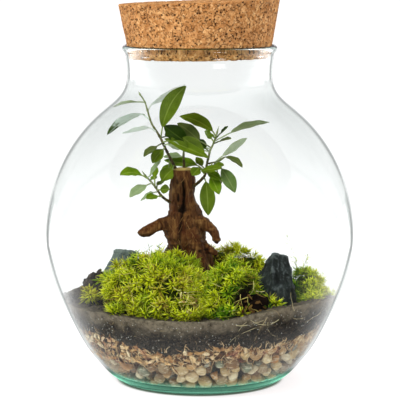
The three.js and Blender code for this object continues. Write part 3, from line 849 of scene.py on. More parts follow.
def filling(low, high, inset, pit, rows, top=None):
    """A closed body against the wall between two wavy lines, pitted towards the axis."""
    rings = []
    for share in np.linspace(0, 1, rows):
        height = low + (high - low) * share
        ring = np.column_stack([RAY * (wall_radius(height) - inset)[:, None], height])
        hollow = pit * smoothstep(-0.3, 0.9, fbm(ring, 4.5 * MM, 4, 21))
        ring[:, :2] -= RAY * hollow[:, None]
        rings.append(ring)
    if top is None:
        inner = [rings[-1] * (s, s, 1) for s in (0.9, 0.5)]
        return skin((0, 0, low.mean()), np.array(rings + inner), (0, 0, high.mean()))
    rim = rings[-1]
    for share in np.linspace(1, 0.02, 70)[1:]:
        flat = rim[:, :2] * share
        rings.append(np.column_stack([flat, top(flat)]))
    return skin((0, 0, low.mean()), np.array(rings), (0, 0, rings[-1][:, 2].mean()))


def soil_bed():
    """The heap, banked along the front right wall; gives its lower and upper edge at the glass."""
    circle = np.column_stack([RAY * 0.1, PEBBLE_LINE])
    ragged = ((4.6, 26, 4), (2.6, 8, 8), (1.6, 3.0, 9))  # height, size and seed of each
    jag = sum(high * MM * noise(circle, size * MM, seed) for high, size, seed in ragged)
    edge = SOIL_LINE + 0.8 * MM * noise(np.column_stack([RAY * 0.1, SOIL_LINE]), 7 * MM, 2)
    edge = edge + np.interp((np.degrees(ANGLE) + 180) % 360 - 180, *BANK) * MM
    low = BARK_LINE - 2.5 * MM + jag

    def top(flat):
        reach = np.hypot(flat[:, 0], flat[:, 1])
        limit = wall_radius(edge) - 1.6 * MM
        return soil_height(flat * np.minimum(1, limit / reach)[:, None])

    rows = 44
    corners, faces = filling(low, edge, CLEAR, 1.1 * MM, rows, top)
    inner = 1 + rows * COLUMNS
    corners[inner:] = relaxed(corners, faces, 4)[inner:]
    lumpy = 1.1 * MM * fbm(corners, 9 * MM, 3, 31) + 0.9 * MM * fbm(corners, 3 * MM, 2, 37)
    corners[inner:, 2] += lumpy[inner:]
    angle = np.arctan2(corners[:, 1], corners[:, 0])
    depth = line_at(edge, angle) - corners[:, 2]
    dry = 1 - smoothstep(0, 15 * MM, depth + 3.5 * MM * fbm(corners, 7 * MM, 3, 41))
    dry[inner:] *= 0.35
    piece("soil_heap", (corners, faces, {"dry": dry}), soil_look(), ["soil_bed"])
    return low, edge


def on_wall(count, low, high, depth, random, gap=0.0):
    """Random points near the wall between two lines, at least a gap apart, and the angle of each."""
    angle = random.uniform(0, TURN, count)
    a, b = line_at(low, angle), line_at(high, angle)
    height = a + (b - a) * random.uniform(0, 1, count)
    radius = wall_radius(height) - depth
    points = np.column_stack([polar(radius, angle), height])
    if not gap:
        return points, angle
    kept = [0]
    for i, point in enumerate(points):
        if np.min(np.linalg.norm(points[kept] - point, axis=1)) > gap:
            kept.append(i)
    return points[kept], angle[kept]


def facing(angle, tilt, random):
    """Rotations whose x axis lies along the wall, turned by tilt in its plane, and z axis to it."""
    out = np.column_stack([np.cos(angle), np.sin(angle), np.full(len(angle), -0.35)])
    out = unit(out + 0.25 * random.normal(size=out.shape))
    side = unit(np.cross(UP, out))
    high = np.cross(out, side)
    c, s = np.cos(tilt)[:, None], np.sin(tilt)[:, None]
    return np.stack([side * c + high * s, high * c - side * s, out], -1)


def pebble_layer():
    random = draws(3)
    low = np.full(COLUMNS, FLOOR_TOP + 3.5 * MM)
    shapes = []
    # the deeper stones are given painted shade, the outer ones none
    for depth, count, gap, shade in ((4.6 * MM, 3000, 8.2 * MM, 0.0), (11 * MM, 1500, 9 * MM, 0.6)):
        points, _ = on_wall(count, low, HEAPED + 3 * MM, depth, random, gap)
        n = len(points)
        sizes = random.uniform(3.9, 6.8, (n, 1)) * MM * random.uniform(0.75, 1.12, (n, 3))
        bodies, triangles = lumps(n, ball(2), sizes, 2, random)
        corners, faces, marks = placed(bodies, triangles, points, tone=random.uniform(0, 1, n),
                                       shade=np.full(n, shade))
        corners = relaxed(corners, faces, 2)
        out = unit(corners - np.repeat(points, bodies.shape[1], 0))
        corners += 0.35 * MM * noise(corners, 4 * MM, 3)[:, None] * out
        shapes.append(inside((corners, faces, marks), 0.3 * MM))
    # a core in painted shade fills what the stones leave open
    floor = np.full(COLUMNS, FLOOR_TOP + 0.6 * MM)
    corners, faces = filling(floor, PEBBLE_LINE + 2 * MM, 13 * MM, 2 * MM, 12)
    shapes.append(inside((corners, faces, {"tone": 0.65, "shade": 1.0}), 0.5 * MM))
    piece("gravel", joined(shapes), pebble_look(), ["pebble_layer"])


def wisps(count, low, high, length, thick, random, depth, tone, curl=0.3):
    """Thin curved fibres or roots that lie along the wall."""
    parts = []
    starts, angles = on_wall(count, low, high, 0.0, random)
    for start, angle in zip(starts, angles):
        heading = random.uniform(0, TURN)
        turn = random.normal(0, curl)
        reach = random.uniform(*length)
        inset = random.uniform(*depth)
        steps = 7
        path, here = [], np.array([angle, start[2]])
        for _ in range(steps):
            radius = wall_radius(here[1]) - inset
            path.append([radius * math.cos(here[0]), radius * math.sin(here[0]), here[1]])
            step = reach / steps
            here = here + (step * math.cos(heading) / max(radius, 0.03), step * math.sin(heading))
            heading += turn / steps * 2 + random.normal(0, 0.1)
            inset = max(depth[0], inset + random.normal(0, 0.2 * MM))
        radii = random.uniform(*thick) * np.linspace(1, 0.45, steps)
        parts.append(inside((*tube(path, radii, 5), {"tone": random.uniform(*tone)}), 0.1 * MM))
    return parts


def bark_layer(soil_low):
    random = draws(5)
    look = bark_look()
    corners, faces = filling(PEBBLE_LINE - 2 * MM, soil_low + 5 * MM, 2.4 * MM, 2.4 * MM, 26)
    shapes = [(corners, faces, {"tone": 0.08 + 0.2 * noise(corners, 5 * MM, 3)})]
    wave = 3.4 * MM * noise(np.column_stack([RAY * 0.1, PEBBLE_LINE]), 14 * MM, 14)
    bark_low = np.minimum(HEAPED + 1.5 * MM + wave, soil_low - 1 * MM)
    for depth, count, gap, shape in ((0.9 * MM, 1700, 4.0 * MM, 2), (2.4 * MM, 900, 5.0 * MM, 1)):
        points, angle = on_wall(count, bark_low, soil_low + 0.5 * MM, depth, random, gap)
        n = len(points)
        spans = ((1.8, 4.6), (1.2, 2.6), (0.5, 1.2))
        sizes = np.column_stack([random.uniform(*span, n) for span in spans]) * MM
        spin = facing(angle, random.uniform(0, TURN, n), random)
        bodies, triangles = lumps(n, ball(shape), sizes, 5, random, spin)
        tone = np.clip(random.normal(0.55, 0.28, n), 0, 1)
        corners, faces, marks = placed(bodies, triangles, points, tone=tone)
        marks["tone"] = np.clip(marks["tone"] + 0.18 * noise(corners, 2 * MM, 6), 0, 1)
        corners += 0.35 * MM * np.column_stack([noise(corners, 2.2 * MM, 50 + k) for k in range(3)])
        shapes.append(inside((corners, faces, marks), 0.12 * MM))
    fibres = wisps(1500, bark_low - 2 * MM, soil_low + 2.2 * MM, (4 * MM, 13 * MM),
                   (0.13 * MM, 0.34 * MM), random, (0.3 * MM, 1.2 * MM), (0.55, 1.0), 1.1)
    fibres += wisps(260, bark_low - 3 * MM, soil_low + 1 * MM, (5 * MM, 14 * MM),
                    (0.3 * MM, 0.6 * MM), random, (0.4 * MM, 1.6 * MM), (0.0, 0.75), 0.8)
    piece("bark_pieces", joined(shapes), look, ["bark_layer"])
    piece("coco_fibre", joined(fibres), look)


HEAP = np.array([-0.087, -0.014])  # where the clods are heaped


def soil_grit(low, edge, random, look):
    """Grains and white specks in the soil against the wall."""
    points, _ = on_wall(1500, low + 1 * MM, edge - 2 * MM, 0.3 * MM, random)
    n = len(points)
    sizes = random.uniform(0.16, 0.42, (n, 1)) ** 1.15 * MM * random.uniform(0.7, 1.3, (n, 3))
    tone = np.where(random.uniform(size=n) < 0.5, random.uniform(0.78, 1, n), random.uniform(0, 0.78, n))
    bodies, triangles = lumps(n, ball(1), sizes, 2, random)
    piece("soil_grit", inside(placed(bodies, triangles, points, tone=tone)), look)


def soil_crumbs(random, look):
    """Crumbs all over the open soil, and clods heaped at the left."""
    radius, angle = 0.106 * np.sqrt(random.uniform(size=1500)), random.uniform(0, TURN, 1500)
    fine = polar(radius, angle)
    clods = HEAP + random.normal(size=(260, 2)) * (0.010, 0.011)
    for name, flat, low_size, high_size, rise, shape in (("soil_crumbs", fine, 0.7, 2.0, 0.0, 1),
                                                         ("soil_clods", clods, 1.0, 2.7, 20.0, 2)):
        n = len(flat)
        heap = np.exp(-np.sum(((flat - HEAP) / 0.013) ** 2, 1))
        centres = np.column_stack([flat, soil_height(flat) + rise * MM * heap * random.uniform(0, 1, n)])
        sizes = random.uniform(low_size, high_size, (n, 1)) * MM * random.uniform(0.7, 1.2, (n, 3))
        bodies, triangles = lumps(n, ball(shape), sizes, 4, random)
        corners, faces, marks = placed(bodies, triangles, centres, tone=random.uniform(0, 0.5, n))
        out = unit(corners - np.repeat(centres, bodies.shape[1], 0))
        corners += out * (0.9 * MM * fbm(corners, 2.4 * MM, 3, 15))[:, None]
        piece(name, inside((corners, faces, marks)), look)


def pale_roots(low, edge, random):
    """Fine roots in the soil at the wall, and longer ones along its edge at the right."""
    roots = wisps(34, low + 6 * MM, edge - 1 * MM, (6 * MM, 20 * MM), (0.10 * MM, 0.2 * MM), random,
                  (0.25 * MM, 0.3 * MM), (0.0, 0.5))
    right = (RAY[:, 0] > 0.25) & (RAY[:, 1] < 0.2)
    for _ in range(20):
        column = random.choice(np.flatnonzero(right))
        band = np.full(COLUMNS, edge[column])
        part = wisps(1, band - 13 * MM, band - 1 * MM, (14 * MM, 34 * MM), (0.18 * MM, 0.32 * MM), random,
                     (0.22 * MM, 0.25 * MM), (0.4, 1.0))
        shift = math.atan2(RAY[column, 1], RAY[column, 0]) - math.atan2(*part[0][0][0, 1::-1])
        c, s = math.cos(shift), math.sin(shift)
        part[0][0][:, :2] = part[0][0][:, :2] @ np.array([[c, s], [-s, c]])
        roots += part
    piece("pale_roots", joined(roots), root_look())


def soil_details(low, edge):
    random = draws(7)
    look = grit_look()
    soil_grit(low, edge, random, look)
    soil_crumbs(random, look)
    pale_roots(low, edge, random)


# ---- moss ------------------------------------------------------------------------------------


def spindles(start, heading, length, width, side, droop):
    """Narrow closed leaflets of three sides: corners and faces."""
    n = len(start)
    length, width = length[:, None], width[:, None]
    keel = unit(np.cross(side, heading))
    bend = -UP * droop[:, None] * length
    belly = start + heading * length * 0.38 + bend * 0.15
    tip = start + heading * length + bend
    half = side * width / 2
    corners = np.stack([start, belly + half, belly - half, belly + keel * width * 0.3, tip], 1)
    faces = np.array([(0, 1, 3), (0, 3, 2), (0, 2, 1), (4, 3, 1), (4, 2, 3), (4, 1, 2)])
    faces = (faces[None] + (np.arange(n) * 5)[:, None, None]).reshape(-1, 3)
    return corners, faces


def sprigs(spots, headings, height, leaflets, reach, width, tone, random):
    """Moss shoots: a thin bent stalk with a spiral of narrow leaflets, spread like a star at its tip."""
    n = len(spots)
    bend = 0.45 * random.normal(size=(n, 3)) * (1, 1, 0.3)
    first, second = framed(headings)
    share = np.linspace(0.18, 1.0, leaflets)[None] ** 0.8 + random.uniform(-0.03, 0.03, (n, leaflets))
    spiral = np.arange(leaflets) * math.radians(137.5) + random.uniform(0, TURN, (n, 1))
    spiral = spiral + random.normal(0, 0.25, spiral.shape)
    out = first[:, None] * np.cos(spiral)[..., None] + second[:, None] * np.sin(spiral)[..., None]
    axis = unit(headings[:, None] + bend[:, None] * share[..., None])
    start = spots[:, None] + height[:, None, None] * share[..., None] * (
        headings[:, None] + 0.5 * bend[:, None] * share[..., None])
    lean = np.radians(74 - 34 * share**2) + random.normal(0, 0.2, share.shape)
    heading = unit(axis * np.cos(lean)[..., None] + out * np.sin(lean)[..., None])
    length = reach[:, None] * random.uniform(0.7, 1.25, share.shape) * (1.1 - 0.25 * share)
    side = unit(np.cross(heading, axis) + 1e-6)
    corners, faces = spindles(
        start.reshape(-1, 3), heading.reshape(-1, 3), length.ravel(),
        np.full(length.size, width), side.reshape(-1, 3), random.uniform(-0.05, 0.25, length.size))
    bright = np.clip(0.45 + 0.55 * share, 0, 1).reshape(-1, 1) + 0.12 * random.normal(size=(length.size, 1))
    along = np.array([0.15, 0.6, 0.6, 0.5, 1.0]) * np.clip(bright, 0.1, 1.1)
    tones = np.repeat(np.repeat(tone, leaflets), 5) + np.repeat(0.05 * random.normal(size=length.size), 5)
    leaves = (corners.reshape(-1, 3), [faces], {"along": along.ravel(), "tone": tones})
    stalk_side, _ = framed(headings)
    corners, faces = spindles(spots, unit(headings + 0.5 * bend), height * 1.02,
                              np.full(n, 0.5 * MM), stalk_side, np.zeros(n))
    stalks = (corners.reshape(-1, 3), [faces], {"along": 0.25, "tone": np.repeat(tone, 5)})
    return joined([leaves, stalks])


def surface_spots(corners, triangles, count, random):
    """Random points and normals on the open side of a mound."""
    a, b, c = (corners[triangles[:, k]] for k in range(3))
    normal = np.cross(b - a, c - a)
    area = np.linalg.norm(normal, axis=1) / 2
    open_side = (unit(normal)[:, 2] > -0.15) & ((a + b + c)[:, 2] / 3 > corners[:, 2].min() + 2 * MM)
    weight = area * open_side
    pick = random.choice(len(triangles), count, p=weight / weight.sum())
    u, v = random.uniform(size=(2, count, 1))
    flip = u + v > 1
    u, v = np.where(flip, 1 - u, u), np.where(flip, 1 - v, v)
    return a[pick] + u * (b - a)[pick] + v * (c - a)[pick], unit(normal)[pick]


MOSS = {
    # node: shoots, height, leaflet length, lowest and highest tone, depth of the cushion under it
    "moss_mound_left": (250, 6.5, 9.0, 0.24, 0.90, 7.5),
    "moss_mound_right": (190, 6.0, 8.6, 0.0, 0.58, 7.5),
    "moss_back": (260, 5.0, 7.0, 0.35, 0.95, 6.5),
    "moss_far_right": (90, 5.0, 7.0, 0.35, 0.9, 7.5),
    "moss_tuft_left": (22, 3.5, 7.0, 0.66, 0.9, 7.5),
}
# Tall single shoots on the crests: centre, half widths (mm), count and height
TALL = {
    "moss_mound_left": ((-39, -36), (11, 7), 12, 16),
    "moss_back": ((30, 26), (22, 10), 16, 10),
    "moss_far_right": ((82, 2), (5, 8), 6, 30),
}
# Shoots that creep over the soil to the glass: angles of the sector and how many
CARPET = {
    "moss_mound_left": (-132, -88, 60),
    "moss_mound_right": (-88, -54, 36),
    "moss_far_right": (-34, 22, 40),
}
# Low cushions between the mounds and against the foot of the trunk: centre and half sizes, mm
CUSHIONS = {
    "moss_mound_left": [((-22, -35, 92), (17, 12, 18)), ((-12, -56, 80), (20, 22, 14))],
    "moss_mound_right": [
        ((8, -38, 80), (11, 10, 11)), ((14, -56, 78), (20, 22, 13)), ((50, -74, 70), (10, 14, 12))],
    "moss_far_right": [((92, -16, 66), (12, 18, 10))],
}
# A dent in the moss at the front right, where hardly a shoot grows and its base is darkened with painted
# shade: centre and half sizes
HOLLOW = np.array([45, -88, 82]) * MM, np.array([17, 28, 14]) * MM


def from_hollow(points):
    return np.linalg.norm((points - HOLLOW[0]) / HOLLOW[1], axis=1)


def creeping(first, last, count, random):
    """Spots on the soil between the mounds and the front wall."""
    angle = np.radians(random.uniform(first, last, count))
    reach = (wall_radius(0.07) - 4.5 * MM) * random.uniform(0.78, 1.0, count) ** 0.7
    flat = polar(reach, angle)
    return np.column_stack([flat, soil_height(flat) - 1.5 * MM]), np.tile(UP, (count, 1))


def cushions(parts, random):
    """Small domes of moss: their mesh, and spots with normals all over them."""
    shapes, spots, out = [], [], []
    for centre, half in parts:
        shape, triangles = ball(3)
        corners = (np.array(centre) + shape * half * (1 + 0.12 * noise(shape, 0.5, 7))[:, None]) * MM
        shapes.append((corners, [triangles]))
        normals = normals_of(corners, [triangles])
        pick = random.choice(np.flatnonzero(normals[:, 2] > -0.1), int(half[0] * half[1] * 0.26))
        spots.append(corners[pick])
        out.append(normals[pick])
    return joined(shapes), np.concatenate(spots), np.concatenate(out)


def mound(node, k, inset):
    """The cushion under the shoots: the node's shape in even faces, sunk, bumpy and down on the soil."""
    corners, triangles = node_mesh(node)
    corners, faces = voxel_body(corners, [triangles], 1.6 * MM)
    corners = relaxed(corners, faces, 6)
    normals = normals_of(corners, faces)
    bumps = fbm(corners, 17 * MM, 2, 60 + k)
    corners -= normals * (inset * MM - 3.5 * MM * bumps)[:, None]
    if node == "moss_mound_left":
        corners[:, 2] -= 6 * MM * smoothstep(0.090, 0.108, corners[:, 2])
    ground = soil_height(kept_inside(corners.copy(), 3 * MM)[:, :2])
    corners[:, 2] = np.maximum(corners[:, 2], ground - 2 * MM)
    return corners, faces


def tall_shoots(place, corners, faces, random):
    """Long single shoots on the crest of a mound, at a place of TALL."""
    (x, y), half, count, height = place
    flat = (x, y) + random.uniform(-1, 1, (count, 2)) * half
    tree = ray_tree(corners, *faces)
    hits = [tree.ray_cast((*(p * MM), HIGH), (0, 0, -1))[0] for p in flat]
    feet = np.array([hit for hit in hits if hit is not None])
    n = len(feet)
    up = unit(UP + 0.4 * random.normal(size=(n, 3)))
    tall = height * MM * random.uniform(0.6, 1.1, n)
    return sprigs(feet, up, tall, 13, np.full(n, 6 * MM), 0.7 * MM, random.uniform(0.1, 0.6, n), random)


def moss():
    look, base_look = moss_look(), moss_base_look()
    for k, (node, (count, height, reach, low, high, inset)) in enumerate(MOSS.items()):
        random = draws(20 + k)
        corners, faces = mound(node, k, inset)
        quads = faces[0]
        triangles = np.concatenate([quads[:, :3], quads[:, [0, 2, 3]]])
        spots, out = surface_spots(corners, triangles, count, random)
        base = [(corners, faces)]
        if node in CARPET:
            more = creeping(*CARPET[node], random)
            domes, *other = cushions(CUSHIONS[node], random)
            base.append(domes)
            spots, out = (np.concatenate(x) for x in zip((spots, out), more, other))
        open_spot = from_hollow(spots) > 1
        spots, out = spots[open_spot], out[open_spot]
        count = len(spots)
        corners, faces = joined(base)[:2]
        # The dent is sunk, and its hollow mark gives it painted shade.
        hollow = 1 - smoothstep(0.75, 1.15, from_hollow(corners))
        corners = corners - 5 * MM * hollow[:, None] * normals_of(corners, faces)
        piece(node + "_base", inside((corners, faces, {"hollow": hollow}), 0.6 * MM), base_look)
        clump = noise(spots, 13 * MM, 70 + k)
        headings = unit(out + 0.3 * UP + 0.55 * random.normal(size=out.shape))
        tone = low + (high - low) * np.clip(0.5 + 0.6 * clump + 0.22 * random.normal(size=count), 0, 1)
        tone = np.where(random.uniform(size=count) < 0.06, random.uniform(0.8, 1.0, count), tone)
        if node == "moss_far_right":
            tone = tone * smoothstep(0.078, 0.100, spots[:, 0])
        tall = height * MM * random.uniform(0.6, 1.5, count) * (1 + 0.3 * clump)
        shapes = [sprigs(spots, headings, tall, 20, np.full(count, reach * MM), 1.05 * MM, tone, random)]
        if node in TALL:
            shapes.append(tall_shoots(TALL[node], corners, faces, random))
        piece(node + "_shoots", inside(joined(shapes), 0.2 * MM), look, [node])


def moss_litter():
    """Dry brown bits and straw-like strands that lie on the moss."""
    random = draws(41)
    sides = map(node_mesh, ("moss_mound_left", "moss_mound_right"))
    corners, faces, _ = joined([(corners, [triangles]) for corners, triangles in sides])
    mounds = ray_tree(corners, *faces)

    def on_moss(x, z):
        """The first spot of moss behind a point in front of the jar."""
        hit = mounds.ray_cast((x, -IN_FRONT, z), (0, 1, 0))[0]
        return np.array(hit) if hit else None

    strands, bits = [], []
    for k in range(90):
        start = on_moss(*((random.uniform(-0.092, 0.055), random.uniform(0.068, 0.115)) if k < 60 else
                          (random.normal(-0.006, 0.006), random.normal(0.084, 0.005))))
        if start is None:
            continue
        way = unit(random.normal(size=3) * (1, 0.35, 0.45))
        length = random.uniform(4, 12) * MM
        bow = unit(random.normal(size=3)) * length * 0.35
        t = np.linspace(-0.5, 0.5, 7)[:, None]
        path = start + (0, -0.5 * MM, 1 * MM) + way * length * t + bow * (0.25 - t**2) * 2
        path[:, 2] = np.maximum(path[:, 2], 0.069)
        radii = random.uniform(0.16, 0.3) * MM * np.linspace(1, 0.6, 7)
        strands.append(inside((*tube(path, radii, 5), {"tone": random.uniform(0.35, 1.0)}), 0.2 * MM))
    for k in range(60):
        start = on_moss(*((random.normal(-0.005, 0.006), random.normal(0.082, 0.005)) if k < 36 else
                          (random.normal(0.041, 0.007), random.normal(0.078, 0.004))))
        if start is None:
            continue
        size = random.uniform(0.5, 2.4, (1, 3)) * MM * (1.3, 0.7, 0.3)
        bodies, triangles = lumps(1, ball(2), size, 4, random)
        tone = random.uniform(0.3, 1.0, 1) if k < 36 else random.uniform(0.0, 0.15, 1)
        spot = (start + (0, -1.5 * MM, 0.8 * MM))[None]
        bits.append(inside(placed(bodies, triangles, spot, tone=tone), 0.2 * MM))
    straw = straw_look()
    piece("moss_straws", joined(strands), straw)
    piece("moss_dry_bits", joined(bits), straw)


# ---- slate stones ----------------------------------------------------------------------------


def slates():
    look = slate_look()
    for k, (node, pale) in enumerate((("slate_rock_right", 0.0), ("slate_rock_left", 0.45))):
        corners, triangles = split_faces(*node_mesh(node), 5)
        faces = [triangles]
        corners = 0.7 * corners + 0.3 * relaxed(corners, faces, 8)
        normals = normals_of(corners, faces)
        random = draws(84 + k)
        middle = corners.mean(0)
        for _ in range(14):
            way = unit(random.normal(size=3) * (1, 1, 0.2))
            beyond = (corners - middle) @ way
            corners -= way * np.maximum(beyond - random.uniform(0.86, 0.96) * beyond.max(), 0)[:, None]
        groove = 1 - np.abs(noise(corners, np.array([3.5, 3.5, 40]) * MM, 81)) * 2.2
        fine = noise(corners, np.array([1.3, 1.3, 14]) * MM, 82)
        rough = 1.1 * MM * fbm(corners, 7 * MM, 4, 88 + k)
        corners = corners + normals * (0.5 * MM * groove + 0.25 * MM * fine + rough)[:, None]
        # convex edges are marked for a painted highlight; pale is a painted haze on the far stone
        sharp = np.sum((corners - relaxed(corners.copy(), faces, 6)) * normals_of(corners, faces), axis=1)
        marks = {"pale": pale, "edge": smoothstep(0.05 * MM, 0.3 * MM, sharp)}
        piece(node.replace("rock", "stone"), (corners, faces, marks), look, [node])


# ---- ficus -----------------------------------------------------------------------------------


def trunk():
    """The swollen trunk with its arms and the root in front: folded, creased and cut flat on top."""
    corners, triangles = node_mesh("ficus_trunk")
    way = ((-10, -9, 140), (-7, -12, 129), (-3, -14, 116), (1.5, -18, 103), (3.5, -21, 92), (4, -22, 80))
    root = along_curve(np.array(way) * MM, 24)
    thick = np.interp(np.linspace(0, 5, 24), range(6), (3.5, 5.4, 5.8, 4.8, 3.6, 2.6)) * MM
    body = joined([(corners, [triangles]), tube(root, thick, 12)])
    corners, faces = voxel_body(body[0], body[1], 0.8 * MM)
    corners = relaxed(corners, faces, 8)
    normals = normals_of(corners, faces)
    x, _, z = corners.T
    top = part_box("ficus_trunk")[1][2]
    crown = smoothstep(top - 3 * MM, top - 0.5 * MM, z)
    folds = fbm(corners, np.array([2.6, 2.6, 26]) * MM, 3, 90)
    broad = fbm(corners, np.array([7, 7, 30]) * MM, 2, 93)
    wrinkles = fbm(corners, np.array([16, 16, 2.0]) * MM, 3, 95)
    knots = fbm(corners, 7 * MM, 3, 99)
    swell = smoothstep(0.105, 0.115, z) * (1 - smoothstep(0.143, 0.15, z))
    height = (0.38 - 0.16 * swell) * folds + (0.5 - 0.2 * swell) * broad
    height = height + (0.12 + 0.42 * swell) * wrinkles + 0.45 * knots
    middle = -0.0150 + 0.0020 * np.sin(z / 0.011)
    front = smoothstep(0.1, 0.4, -normals[:, 1])
    crease = np.exp(-((x - middle) / 0.0015) ** 2) * front
    crease *= smoothstep(0.104, 0.112, z) * (1 - smoothstep(0.165, 0.178, z))
    corners = corners + normals * ((0.35 + height * (1 - 0.8 * crown) - 1.5 * crease) * MM)[:, None]
    corners[:, 2] = np.minimum(corners[:, 2], top)
    # painted shade in the grooves and the crease, a painted highlight on the ridges
    groove = np.clip(smoothstep(0.2, 0.8, -height) + 0.9 * crease, 0, 1) * (1 - crown)
    worn = smoothstep(0.4, 1.1, height) * 0.6 * (1 - crown)
    ring = crown * (np.abs(corners[:, 2] - top) < 1.6 * MM)
    look = trunk_look()
    marks = {"groove": groove, "worn": worn, "cut": ring * 0.85}
    piece("trunk_bark", (corners, faces, marks), look, ["ficus_trunk"])
    piece("trunk_rootlets", rootlets(ray_tree(corners, *faces)), look)


def rootlets(bark):
    """Thin roots that creep down over the front of the bark: their points are x and z, mm."""
    random = draws(17)
    ways = [((-12, 172), (-15, 168), (-19, 163), (-23.5, 156)),
            ((-14, 139), (-17, 134), (-21, 128), (-25, 122))]
    for _ in range(8):
        x0, z0 = random.uniform(-32, -2), random.uniform(100, 172)
        lean = random.normal(0, 0.5)
        ways.append([(x0 + lean * s * 14 + random.normal(0, 1), z0 - s * 16) for s in (0, 0.33, 0.66, 1)])
    shapes = []
    for way in ways:
        points = []
        for px, pz in along_curve(np.array(way), 14) * MM:
            hit = bark.ray_cast((px, -IN_FRONT, pz), (0, 1, 0))[0]
            if hit:
                points.append([px, hit[1], pz])
        if len(points) > 6:
            points = relaxed_line(np.array(points))
            shape = tube(points, random.uniform(0.18, 0.3) * MM * np.linspace(1, 0.6, len(points)), 6)
            # the rootlets take part of the painted highlight
            shapes.append((*shape, {"groove": 0.0, "worn": 0.55, "cut": 0.0}))
    return joined(shapes)


def relaxed_line(points):
    for _ in range(3):
        points[1:-1] = (points[:-2] + points[1:-1] * 2 + points[2:]) / 4
    return points


def stem_rings(place):
    """The rings of the widest tube in a stem's node, without its two ends."""
    return max(node_rings("ficus_stem_" + place, 6), key=lambda x: np.ptp(x[1], axis=0).max())[1:-1]


def stems():
    look = stem_look()
    for place in ("left", "middle", "lower", "right", "twig"):
        rings = stem_rings(place)
        centres = np.array([ring.mean(0) for ring in rings])
        radii = np.array([np.linalg.norm(ring - ring.mean(0), axis=1).mean() for ring in rings])
        steps = 8 * len(centres)
        path = along_curve(centres, steps)
        radius = np.interp(np.linspace(0, 1, steps), np.linspace(0, 1, len(radii)), radii)
        share = np.linspace(0, 1, steps)
        knots = 1 + 0.22 * np.maximum(0, np.cos(share * TURN * (len(centres) - 1) * 0.9)) ** 6
        corners, faces = tube(path, 0.74 * radius * knots, 12)
        corners += 0.12 * MM * fbm(corners, 1.6 * MM, 2, 110)[:, None] * normals_of(corners, faces)
        young = np.clip(np.concatenate([[0], np.repeat(share, 12), [1]]) * 1.5 - 0.45, 0, 1)
        parts = [(corners, faces, {"young": young})]
        # the pointed bud that ends a growing stem
        tip = path[-1] - path[-3]
        tip = tip / np.linalg.norm(tip)
        bud = path[-1] + np.linspace(-0.5, 3 if place == "left" else 6, 9)[:, None] * MM * (tip + 0.25 * UP)
        shape = tube(bud, np.array([0.7, 0.85, 0.9, 0.8, 0.65, 0.48, 0.32, 0.18, 0.08]) * MM, 8)
        parts.append((*shape, {"young": 1.0}))
        piece("stem_" + place, joined(parts), look, ["ficus_stem_" + place])


LEAF_KINDS = {
    # upper side, underside, veins, tip
    "fresh": (("506406", "6a8016"), ("808e54", "97a26c"), "94a446"),
    "deep": (("1f3600", "304804"), ("56663c", "6a7848"), "5a7024"),
    "bright": (("587804", "7c9a18"), ("8ca04c", "a4b268"), "a8b84c"),
    "grey": (("869a62", "a4b488"), ("a8b490", "bac4a6"), "b8c498"),
    "dusty": (("566c2c", "6c8448"), ("808e60", "96a274"), "94a060"),
    "pale": (("d2dccd", "e4ebe0"), ("e2eae2", "f4f7f2"), "eef3ea"),
    "tipped": (("c0cebc", "d4ded0"), ("d0dad0", "e6ece4"), "e2e8dc", "4c661e"),
    "brown": (("4c5a24", "626e36"), ("646c48", "7a8258"), "868e50"),
}
LEAF_TONES = {
    "dusty": "twig_6",
    "pale": "left_3 left_5",
    "tipped": "left_2",
    "grey": "left_1 left_7 lower_1 lower_4 lower_8 middle_2 right_3 right_8 twig_1",
    "bright": "lower_2 lower_3 lower_5 lower_9 right_5 right_6 twig_3 twig_4",
    "deep": "left_6 right_7",
    "brown": "left_10 right_1 right_9 twig_2",
}
# Leaves that crowd between the others: stem, base, tip, width in mm, upper direction, kind
MORE_LEAVES = [
    ("left", (-26.0, -17, 203.4), (7.9, -27, 190.3), 9.5, (0.3, -0.85, 0.45), "fresh"),
    ("middle", (-10.4, -6, 200.6), (-29.8, -11, 215.3), 15, (0.1, -0.9, 0.4), "deep"),
    ("middle", (-13.7, -9, 197.6), (-29.4, -15, 204.9), 8, (0.1, -0.7, 0.7), "fresh"),
    ("right", (-1.2, 2, 195.6), (-14.6, 6, 206.2), 8, (-0.1, -0.8, 0.6), "grey"),
    ("right", (13.4, -12, 205.0), (5.9, -16, 210.4), 5, (0.0, -0.5, 0.85), "bright"),
    ("right", (1.3, -22, 178.9), (18.6, -32, 182.6), 8, (0.1, -0.75, 0.65), "fresh"),
    ("right", (6.3, -18, 177.7), (17.8, -26, 171.9), 8, (0.3, -0.85, 0.4), "bright"),
    ("left", (-23.1, 6, 181.7), (-30.8, 10, 167.7), 12, (-0.25, -0.95, 0.2), "bright"),
    ("right", (5.5, -4, 195.4), (-2.9, 3, 203.1), 8, (-0.2, -0.8, 0.6), "deep"),
]


